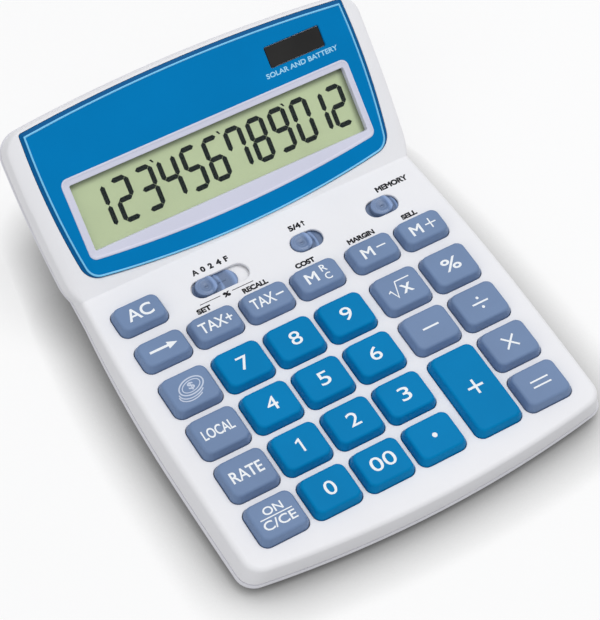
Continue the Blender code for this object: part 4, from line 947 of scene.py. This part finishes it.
# Each mark: words with their width, height, offset and boldness, or a line and its width, or a filled shape
arrowShape = [(-5.2, -0.45), (1.6, -0.45), (1.6, -1.45), (5.2, 0), (1.6, 1.45), (1.6, 0.45), (-5.2, 0.45)]
legends = {
    "key_all_clear": [("words", "AC", 9.5, 4.8, 0, 0, 0.12)],
    "key_backspace": [("shape", arrowShape)],
    "key_currency": [
        ("line", oval((0.4, 0.6), 4.7, 2.9, 14), 0.5), ("line", oval((0.4, 0.6), 3.5, 2.0, 14), 0.35),
        ("words", "$", 2.3, 3.1, 0.4, 0.6, 0.1),
        ("line", oval((-0.1, -0.4), 4.9, 3.0, 14, 165, 310, 16), 0.42),
        ("line", oval((-0.5, -1.3), 4.9, 3.0, 14, 165, 300, 16), 0.42),
    ],
    "key_local": [("words", "LOCAL", 11.4, 3.9, -0.3, 0, 0.08)],
    "key_rate": [("words", "RATE", 11.6, 4.3, -0.3, 0, 0.1)],
    "key_on_clear": [
        ("words", "ON", 7.0, 3.0, 0, 2.6, 0.07), ("line", [(-5.8, 0.25), (5.8, 0.25)], 0.4),
        ("words", "C/CE", 11.8, 3.4, 0, -2.3, 0.07),
    ],
    "key_tax_plus": [("words", "TAX+", 12.4, 4.2, 0, 0, 0.08)],
    "key_tax_minus": [("words", "TAX", 8.8, 4.2, -1.8, 0, 0.08), ("line", [(3.2, 0), (6.2, 0)], 0.6)],
    "key_memory_recall": [
        ("words", "M", 4.4, 4.2, -2.6, 0, 0.12), ("words", "R", 2.3, 2.7, 2.9, 1.8, 0.05),
        ("words", "C", 2.4, 2.7, 2.9, -1.8, 0.05),
    ],
    "key_memory_minus": [("words", "M", 4.3, 4.1, -2.4, -0.3, 0.12), ("line", [(1.4, 0.2), (5.0, 0.2)], 0.5)],
    "key_memory_plus": [
        ("words", "M", 4.3, 4.1, -2.6, -0.3, 0.12), ("line", [(1.2, 0), (5.4, 0)], 0.5), ("line", [(3.3, -2.1), (3.3, 2.1)], 0.5),
    ],
    "key_root": [
        ("line", [(-5.2, -0.4), (-4.3, 0.3), (-2.9, -3.1), (-1.0, 3.1), (4.6, 3.1)], 0.45),
        ("words", "x", 4.0, 3.6, 1.5, -0.9, 0.1),
    ],
    "key_minus": [("line", [(-3.1, 0), (3.1, 0)], 0.7)],
    "key_plus": [("line", [(-2.9, 0), (2.9, 0)], 0.85), ("line", [(0, -2.9), (0, 2.9)], 0.85)],
    "key_percent": [("words", "%", 6.6, 5.2, 0, 0, 0.1)],
    "key_divide": [
        ("line", [(-3.1, 0), (3.1, 0)], 0.65), ("shape", oval((0, 2.0), 0.55, 0.55, steps=12)[:-1]),
        ("shape", oval((0, -2.0), 0.55, 0.55, steps=12)[:-1]),
    ],
    "key_multiply": [("line", [(-2.35, -2.35), (2.35, 2.35)], 0.68), ("line", [(-2.35, 2.35), (2.35, -2.35)], 0.68)],
    "key_equals": [("line", [(-3.5, 1.1), (3.5, 1.1)], 0.6), ("line", [(-3.5, -1.1), (3.5, -1.1)], 0.6)],
    "key_point": [("shape", oval((0, 0), 0.9, 0.9, steps=20)[:-1])],
    "key_00": [("words", "00", 9.2, 5.2, 0, 0, 0.03)],
    "key_1": [("shape", [(-0.1, -2.6), (0.65, -2.6), (0.65, 2.6), (0.1, 2.6), (-1.3, 1.7), (-1.3, 1.0), (-0.1, 1.6)])],
    **{"key_" + digit: [("words", digit, 4.0, 5.2, 0, 0, 0.03)] for digit in "023456789"},
}


def moved(points, x, run):
    return [(point[0] + x, point[1] + run) for point in points]


def makeMark(mark, x, run, height):
    if mark[0] == "words":
        words, wide, tall, overX, overRun, weight = mark[1:]
        return lettering(words, wide, tall, (x + overX, run + overRun), height, weight)
    if mark[0] == "line":
        return strip(moved(mark[1], x, run), mark[2], height)
    return patch(moved(mark[1], x, run), height)


for node, marks in legends.items():
    x, run, depth = keyPlaces[node]
    made = [makeMark(mark, x, run, keyShape["top"] + 0.005 + 0.006 * index) for index, mark in enumerate(marks)]
    legend = together("legend_of_" + node, made)
    layOn(legend, deckSpace)
    dress(legend, finishes["legendPale" if node == "key_currency" else "legendWhite"], node)
print("legends printed")


# Slide switches: a dished thumb on a plate, over a white tray under the deck

def thumbTop(x, y):
    ring = math.hypot(x, y)
    dish = 0.35 * math.exp(-(ring / 1.9) ** 4)
    crest = 0.85 * math.exp(-((x - 2.7 + 0.04 * y * y) / 0.85) ** 4)
    fade = 1 / (1 + math.exp(4 * (x - 1.9)))
    waves = switchShape["ridge"] * math.cos(2 * math.pi * ring / switchShape["ridgePitch"]) * fade
    return switchShape["top"] - dish + crest + waves


def makeSwitch(node, switch):
    shape = switchShape
    rest = switch["rest"]
    first, last = rest + switch["thumb"][0], rest + switch["thumb"][1]
    middle = (first + last) / 2
    wide = shape["thumbWide"]
    rings = [pillRing(first, last, wide, z) for z in (shape["plateTop"] - 0.3, shape["shoulder"])]
    for i in range(1, 5):
        turn = i / 4 * math.pi / 2
        inset = shape["round"] * (1 - math.cos(turn))
        rings.append(pillRing(
            first + inset, last - inset, wide - 2 * inset,
            lambda x, y: shape["shoulder"] + (thumbTop(x - middle, y) - shape["shoulder"]) * math.sin(turn)))
    for i in range(1, 15):
        inset = shape["round"] + (wide / 2 - shape["round"] - 0.01) * i / 14
        rings.append(pillRing(first + inset, last - inset, wide - 2 * inset, lambda x, y: thumbTop(x - middle, y)))
    thumb = wrapped("thumb", rings, deckSpace)
    first, last = rest + switch["plate"][0], rest + switch["plate"][1]
    edge = rest + switch["thumb"][1]
    wide, top = shape["plateWide"], shape["plateTop"]

    # An arched rib beside the thumb, then a shallow dish up to the plate's raised end
    def plateFace(x, y):
        over = x - edge + 0.05 * y * y
        rib = math.exp(-((over - 1.5) / 0.55) ** 4)
        end = math.exp(-((over - 6.6) / 1.0) ** 2)
        return top - 0.42 + 0.4 * max(rib, end)

    rings = [pillRing(first, last, wide, top - shape["plateThick"]), pillRing(first, last, wide, top - 0.35)]
    insets = [0.1, 0.35] + [0.35 + (wide / 2 - 0.36) * i / 20 for i in range(1, 21)]
    rings += [pillRing(first + inset, last - inset, wide - 2 * inset, plateFace) for inset in insets]
    plate = wrapped("plate", rings, deckSpace)
    piece = together("switch_" + node, [thumb, plate])
    openEdit(piece, "VERT")
    bpy.ops.mesh.select_all(action="SELECT")
    bpy.ops.mesh.remove_doubles(threshold=0.03 * mm)
    bpy.ops.mesh.normals_make_consistent(inside=False)
    leaveEdit()
    # Painted highlight and shade: by height, high spots are painted pale and hollows dark
    painted_relief_light = piece.data.attributes.new("painted_relief_light", "FLOAT", "POINT")
    for vertex, value in zip(piece.data.vertices, painted_relief_light.data):
        height = (deckSpace.inverted() @ vertex.co).z / mm
        low, high = (top - 0.42, top) if height < -0.4 else (0.2, 1.4)
        value.value = 0.72 + 0.62 * max(0, (height - low) / (high - low))
    smooth(piece, 50)
    dress(piece, finishes["switchGrey"], node, [node])


# Scales the colour by the painted highlight and shade stored at each point
def paintReliefLight(material):
    nodes = material.node_tree.nodes
    link = material.node_tree.links.new
    skin = nodes["Principled BSDF"]
    painted_relief_light = nodes.new("ShaderNodeAttribute")
    painted_relief_light.attribute_name = "painted_relief_light"
    mixed = nodes.new("ShaderNodeVectorMath")
    mixed.operation = "SCALE"
    link(skin.inputs["Base Color"].links[0].from_socket, mixed.inputs[0])
    link(painted_relief_light.outputs["Fac"], mixed.inputs["Scale"])
    link(mixed.outputs["Vector"], skin.inputs["Base Color"])


paintReliefLight(finishes["switchGrey"])


def makeTray(switch):
    shape = switchShape
    first, last = plateReach(switch, 0.4)
    wall = shape["trayWall"]
    under = -shell["wall"]
    rings = [
        pillRing(first - wall, last + wall, shape["pocket"] + 2 * wall, shape["trayFloor"] - shape["trayThick"]),
        pillRing(first - wall, last + wall, shape["pocket"] + 2 * wall, under),
        pillRing(first, last, shape["pocket"], under),
        pillRing(first, last, shape["pocket"], shape["trayFloor"]),
    ]
    return wrapped("tray", rings, deckSpace)


for node, switch in switches.items():
    makeSwitch(node, switch)
trays = together("switch_trays", [makeTray(switch) for switch in switches.values()])
smooth(trays)
dress(trays, finishes["caseWhite"], "housing")
print("switches set")


# Display: blue panel with its bead, border, window, glass and digits

def makePanel():
    edge = panel["chamfer"]
    face = panel["face"]
    low = panel["gap"] - panel["recess"]
    piece = wrapped("blue_panel", [panelRing(-edge, low, -0.2), panelRing(-edge, face - 0.05, -0.2),
                                   panelRing(-edge - 0.1, face, -0.3)], headSpace)
    cutAway(piece, wrapped("cut_border", [displayRing(0, -3), displayRing(0, 3)], headSpace))
    solar = [
        roundedRing(display["solarWidth"] + grow, display["solarHeight"] + grow, display["solarRadius"] + grow / 2, z,
                    (display["solarX"], display["solarRun"]))
        for z, grow in ((-3, 0), (face - 0.3, 0), (face, 0.5), (3, 0.5))
    ]
    cutAway(piece, wrapped("cut_solar", solar, headSpace))
    smooth(piece)
    return piece


# The panel's outer chamfer ring, coloured a darker blue as painted shade
def makePanelEdge():
    edge, low = panel["chamfer"], panel["gap"] - panel["recess"]
    rings = [
        panelRing(0.2, low), panelRing(0.2, -0.15), panelRing(0.1, 0.0), panelRing(-edge + 0.1, panel["face"] - 0.05, -0.1),
        panelRing(-edge + 0.02, panel["face"] - 0.2, -0.18), panelRing(-edge + 0.02, low, -0.18),
    ]
    piece = wrapped("panel_edge", [*rings, rings[0]], headSpace)
    smooth(piece)
    return piece


# A round bead inside the chamfer, coloured a paler blue as painted highlight
def makeBead():
    middle, footMiddle, radius = -panel["chamfer"], -0.15, panel["bead"]
    rings = []
    for i in range(8):
        turn = 2 * math.pi * i / 8
        over = radius * math.cos(turn)
        rings.append(panelRing(middle + over, panel["face"] - 0.02 + radius * math.sin(turn), footMiddle + over))
    piece = wrapped("panel_bead", [*rings, rings[0]], headSpace)
    smooth(piece, 80)
    return piece


dress(makePanel(), finishes["fasciaBlue"], "housing", ["display_fascia"])
dress(makePanelEdge(), finishes["shadedEdgeBlue"], "housing")
dress(makeBead(), finishes["highlightBlue"], "housing")
print("panel set")

border = {"half": 53.9, "foot": 14.0, "top": 37.4, "radius": 0.5, "shift": 0.3, "face": 0.42, "low": -1.85}
glassShape = {"half": 54.7, "foot": 13.4, "top": 38.1, "thick": 1.1}


def openRing(grow, z):
    return bowedRing(border["half"] + grow, border["foot"] - grow, border["top"] + grow, 0.0, border["radius"] + grow,
                     z, border["shift"])


def makeBorder():
    low, face = border["low"], border["face"]
    rings = [
        displayRing(0, low), displayRing(0, face - 0.02), displayRing(-0.1, face + 0.16), displayRing(-0.3, face + 0.24),
        displayRing(-0.65, face + 0.24), displayRing(-0.9, face + 0.1), displayRing(-1.15, face),
        openRing(0.45, face - 0.06), openRing(0.12, face - 0.14), openRing(0, face - 0.35), openRing(0, low),
    ]
    piece = wrapped("display_border", [*rings, rings[0]], headSpace)
    smooth(piece)
    return piece


# Painted shadow: the glass colour is darkened along its top and right edges, where the border's walls keep light off it
def paintShadowOnGlass(material, top, side):
    nodes = material.node_tree.nodes
    link = material.node_tree.links.new
    place = nodes.new("ShaderNodeTexCoord")
    upward = nodes.new("ShaderNodeVectorMath")
    upward.operation = "DOT_PRODUCT"
    upward.inputs[1].default_value = headSpace.to_3x3() @ Vector((0, 1, 0))
    link(place.outputs["Object"], upward.inputs[0])
    across = nodes.new("ShaderNodeSeparateXYZ")
    link(place.outputs["Object"], across.inputs[0])
    shades = []
    for output, edge, reach in ((upward.outputs["Value"], top, 2.6), (across.outputs["X"], side, 2.8)):
        fade = nodes.new("ShaderNodeMapRange")
        fade.interpolation_type = "SMOOTHSTEP"
        fade.inputs["From Min"].default_value = (edge - reach) * mm
        fade.inputs["From Max"].default_value = edge * mm
        fade.inputs["To Min"].default_value = 1
        fade.inputs["To Max"].default_value = 0.42
        link(output, fade.inputs["Value"])
        shades.append(fade.outputs["Result"])
    both = nodes.new("ShaderNodeMath")
    both.operation = "MULTIPLY"
    link(shades[0], both.inputs[0])
    link(shades[1], both.inputs[1])
    skin = nodes["Principled BSDF"]
    colour = skin.inputs["Base Color"].links[0].from_socket
    mixed = nodes.new("ShaderNodeVectorMath")
    mixed.operation = "SCALE"
    link(colour, mixed.inputs[0])
    link(both.outputs[0], mixed.inputs["Scale"])
    link(mixed.outputs["Vector"], skin.inputs["Base Color"])


def makeGlass():
    shape, top = glassShape, -display["lcdDrop"]
    rings = [bowedRing(shape["half"], shape["foot"], shape["top"], 0.0, 0.3, z) for z in (top - shape["thick"], top)]
    return wrapped("lcd_glass", rings, headSpace)


glass = makeGlass()
topEdge = headSpace @ (Vector((0, border["top"], -display["lcdDrop"])) * mm)
glassTop = topEdge.dot(headSpace.to_3x3() @ Vector((0, 1, 0))) / mm
# The glass gets its painted shadow along the top and right edges
paintShadowOnGlass(finishes["lcdGreen"], glassTop, border["half"] + border["shift"])
dress(glass, finishes["lcdGreen"], "housing", ["lcd_panel"])
dress(makeBorder(), finishes["frameGrey"], "housing", ["display_frame"])
pane = wrapped("window_pane", [openRing(-0.02, -1.4), openRing(-0.02, -1.0), openRing(-0.12, -0.9)], headSpace)
smooth(pane)
dress(pane, finishes["clearWindow"], "housing", ["display_window"])

digits = {
    "lefts": [-48.0, -39.0] + [-47.3 + 8.75 * i for i in range(2, 10)] + [37.6, 45.6], "wide": 5.3, "tall": 14.2, "lastTall": 13.5,
    "foot": 18.8, "bar": 1.75, "gap": 0.06, "ticks": ((-23.0, 33.9), (3.0, 33.7), (28.7, 33.6)),
    "places": {"a": (0.5, 1, 0), "b": (1, 0.75, 1), "c": (1, 0.25, 1), "d": (0.5, 0, 0), "e": (0, 0.25, 1),
               "f": (0, 0.75, 1), "g": (0.5, 0.5, 0)},
    "lines": {"1": "bc", "2": "abged", "3": "abgcd", "4": "fgbc", "5": "afgcd", "6": "afgedc", "7": "fabc",
              "8": "abcdefg", "9": "abcdfg", "0": "abcdef"},
}


def segmentBar(start, end, height):
    along = (end - start).normalized()
    side = Vector((-along.y, along.x)) * digits["bar"] / 2
    start, end = start + along * digits["gap"], end - along * digits["gap"]
    tip = along * digits["bar"] / 2
    corners = [start, start + tip + side, end - tip + side, end, end - tip - side, start + tip - side]
    return patch(corners, height)


def makeDigits():
    height = 0.02 - display["lcdDrop"]
    bars = [patch([(x - 0.7, y + 0.7), (x + 0.2, y + 0.6), (x + 0.7, y - 0.6), (x + 0.1, y - 0.5)], height)
            for x, y in digits["ticks"]]
    for index, digit in enumerate("123456789012"):
        left = digits["lefts"][index]
        tall = digits["tall"] if index < 10 else digits["lastTall"]
        for letter in digits["lines"][digit]:
            shareX, shareY, upright = digits["places"][letter]
            middle = Vector((left + shareX * digits["wide"], digits["foot"] + shareY * tall))
            half = Vector((0, tall / 4)) if upright else Vector((digits["wide"] / 2, 0))
            bars.append(segmentBar(middle - half, middle + half, height))
    made = together("lcd_digits", bars)
    layOn(made, headSpace)
    return made


dress(makeDigits(), finishes["segmentInk"], "housing")
print("digits set")

carried = {
    "solar_cell": "solarDark", "zebra_strip": "stripPink", "display_board": "boardGreen",
    "main_board": "boardGreen", "rubber_keypad": "sheetGrey", "controller_chip": "resinBlack",
    "ribbon_cable": "cableGrey", "button_cell": "cellSteel", "battery_contact_positive": "springSteel",
    "battery_contact_negative": "springSteel",
}
for node, finish in carried.items():
    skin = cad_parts[node].data.materials
    skin.clear()
    skin.append(finishes[finish])


# Printing on the deck and the panel: words, width, height, and where their middle is

deckPrints = [
    ("A", 2.2, 2.3, -25.9, -7.6), ("0", 1.7, 2.3, -22.8, -7.6), ("2", 1.6, 2.3, -19.8, -7.6),
    ("4", 1.9, 2.3, -16.7, -7.6), ("F", 1.5, 2.3, -13.7, -7.6), ("5/4", 4.7, 2.3, 13.6, -7.5),
    ("MEMORY", 12.8, 2.3, 53.1, -7.8), ("SET", 5.4, 2.1, -30.7, -22.1), ("%", 2.6, 2.0, -20.8, -20.3),
    ("RECALL", 9.6, 2.1, -10.8, -22.1), ("COST", 7.6, 2.1, 9.0, -22.1), ("MARGIN", 10.6, 2.1, 31.5, -22.1),
    ("SELL", 6.1, 2.1, 51.3, -22.1),
]
prints = [lettering(words, wide, tall, (x, run), 0.005, 0.17) for words, wide, tall, x, run in deckPrints]
prints.append(strip([(-31.0, -19.9), (-23.1, -19.9)], 0.26, 0.005))
prints.append(strip([(-18.5, -19.9), (-10.2, -19.9)], 0.26, 0.005))
prints.append(strip([(17.0, -8.6), (17.0, -6.9)], 0.4, 0.005))
prints.append(patch([(16.2, -7.2), (17.0, -6.2), (17.8, -7.2)], 0.011))
printing = together("deck_printing", prints)
layOn(printing, deckSpace)
dress(printing, finishes["printBlack"], "housing")
caption = lettering("SOLAR AND BATTERY", 28.6, 1.8, (40.6, 44.7), panel["face"] + 0.005, 0.07)
layOn(caption, headSpace)
dress(caption, finishes["captionBlue"], "housing")
print("prints set")


# Floor, light and camera

stageShape = {"matt": 0.4, "mattUnseen": 0.72, "glow": 0.59, "sky": 0.56, "farWhite": 0.97, "paintedShadowReach": 0.019, "paintedShadowDepth": 1.45}


def makeFloor():
    quiet()
    bpy.ops.mesh.primitive_plane_add(size=6, location=(0, 0, 0))
    floor = named("floor")
    material = bpy.data.materials.new("paper")
    material.use_nodes = True
    nodes = material.node_tree.nodes
    link = material.node_tree.links.new
    nodes.clear()
    out = nodes.new("ShaderNodeOutputMaterial")
    path = nodes.new("ShaderNodeLightPath")
    seen = nodes.new("ShaderNodeMath")
    seen.operation = "MAXIMUM"
    link(path.outputs["Is Camera Ray"], seen.inputs[0])
    link(path.outputs["Is Glossy Ray"], seen.inputs[1])
    alsoSeen = nodes.new("ShaderNodeMath")
    alsoSeen.operation = "MAXIMUM"
    link(seen.outputs[0], alsoSeen.inputs[0])
    link(path.outputs["Is Transmission Ray"], alsoSeen.inputs[1])
    tone = nodes.new("ShaderNodeMapRange")
    tone.inputs["To Min"].default_value = stageShape["mattUnseen"]
    tone.inputs["To Max"].default_value = stageShape["matt"]
    link(alsoSeen.outputs[0], tone.inputs["Value"])
    # Painted shadow: ambient occlusion darkens the floor's colour and its glow close to the object
    paintedShadowAO = nodes.new("ShaderNodeAmbientOcclusion")
    paintedShadowAO.inputs["Distance"].default_value = stageShape["paintedShadowReach"]
    paintedShadowAO.samples = 16
    paintedShadow = nodes.new("ShaderNodeMath")
    paintedShadow.operation = "POWER"
    paintedShadow.inputs[1].default_value = stageShape["paintedShadowDepth"]
    link(paintedShadowAO.outputs["AO"], paintedShadow.inputs[0])
    dimmed = nodes.new("ShaderNodeMath")
    dimmed.operation = "MULTIPLY"
    link(tone.outputs["Result"], dimmed.inputs[0])
    link(paintedShadow.outputs[0], dimmed.inputs[1])
    matt = nodes.new("ShaderNodeBsdfDiffuse")
    link(dimmed.outputs[0], matt.inputs["Color"])
    glow = nodes.new("ShaderNodeEmission")
    link(paintedShadow.outputs[0], glow.inputs["Color"])
    most = nodes.new("ShaderNodeMath")
    most.operation = "MULTIPLY"
    most.inputs[1].default_value = stageShape["glow"]
    link(alsoSeen.outputs[0], most.inputs[0])
    link(most.outputs[0], glow.inputs["Strength"])
    both = nodes.new("ShaderNodeAddShader")
    link(matt.outputs[0], both.inputs[0])
    link(glow.outputs[0], both.inputs[1])
    link(both.outputs[0], out.inputs["Surface"])
    floor.data.materials.append(material)


lamps = {
    "mainLamp": {"place": (0.4, 0.06, 1.15), "size": 0.7, "power": 5.5},
    "sideLamp": {"place": (-0.8, -0.35, 0.75), "size": 0.9, "power": 1.8},
}


def makeLight():
    world = bpy.data.worlds.new("studio")
    bpy.context.scene.world = world
    world.use_nodes = True
    sky = world.node_tree.nodes["Background"]
    sky.inputs["Color"].default_value = (0.98, 0.985, 1.0, 1)
    nodes = world.node_tree.nodes
    link = world.node_tree.links.new
    path = nodes.new("ShaderNodeLightPath")
    seen = path.outputs["Is Camera Ray"]
    for name in ("Is Glossy Ray", "Is Transmission Ray"):
        most = nodes.new("ShaderNodeMath")
        most.operation = "MAXIMUM"
        link(seen, most.inputs[0])
        link(path.outputs[name], most.inputs[1])
        seen = most.outputs[0]
    level = nodes.new("ShaderNodeMapRange")
    level.inputs["To Min"].default_value = stageShape["sky"]
    level.inputs["To Max"].default_value = stageShape["farWhite"]
    link(seen, level.inputs["Value"])
    link(level.outputs["Result"], sky.inputs["Strength"])
    for name, values in lamps.items():
        quiet()
        bpy.ops.object.light_add(type="AREA", location=values["place"])
        lamp = named(name)
        lamp.data.size = values["size"]
        lamp.data.energy = values["power"]
        lamp.rotation_euler = (-Vector(values["place"])).to_track_quat("-Z", "Y").to_euler()


def makeCamera():
    quiet()
    view = {"place": (-274.1462, -398.3688, 663.1579), "turn": (36.4806, -2.21389, -31.59737), "lens": 139.0518}
    bpy.ops.object.camera_add(location=Vector(view["place"]) * mm, rotation=[math.radians(a) for a in view["turn"]])
    camera = named("photoCamera")
    camera.data.lens = view["lens"]
    camera.data.sensor_width = 36
    camera.data.clip_start = 0.01
    bpy.context.scene.camera = camera


makeFloor()
makeLight()
makeCamera()
bpy.context.scene.view_settings.view_transform = "Standard"
quiet()

print("scene ready")
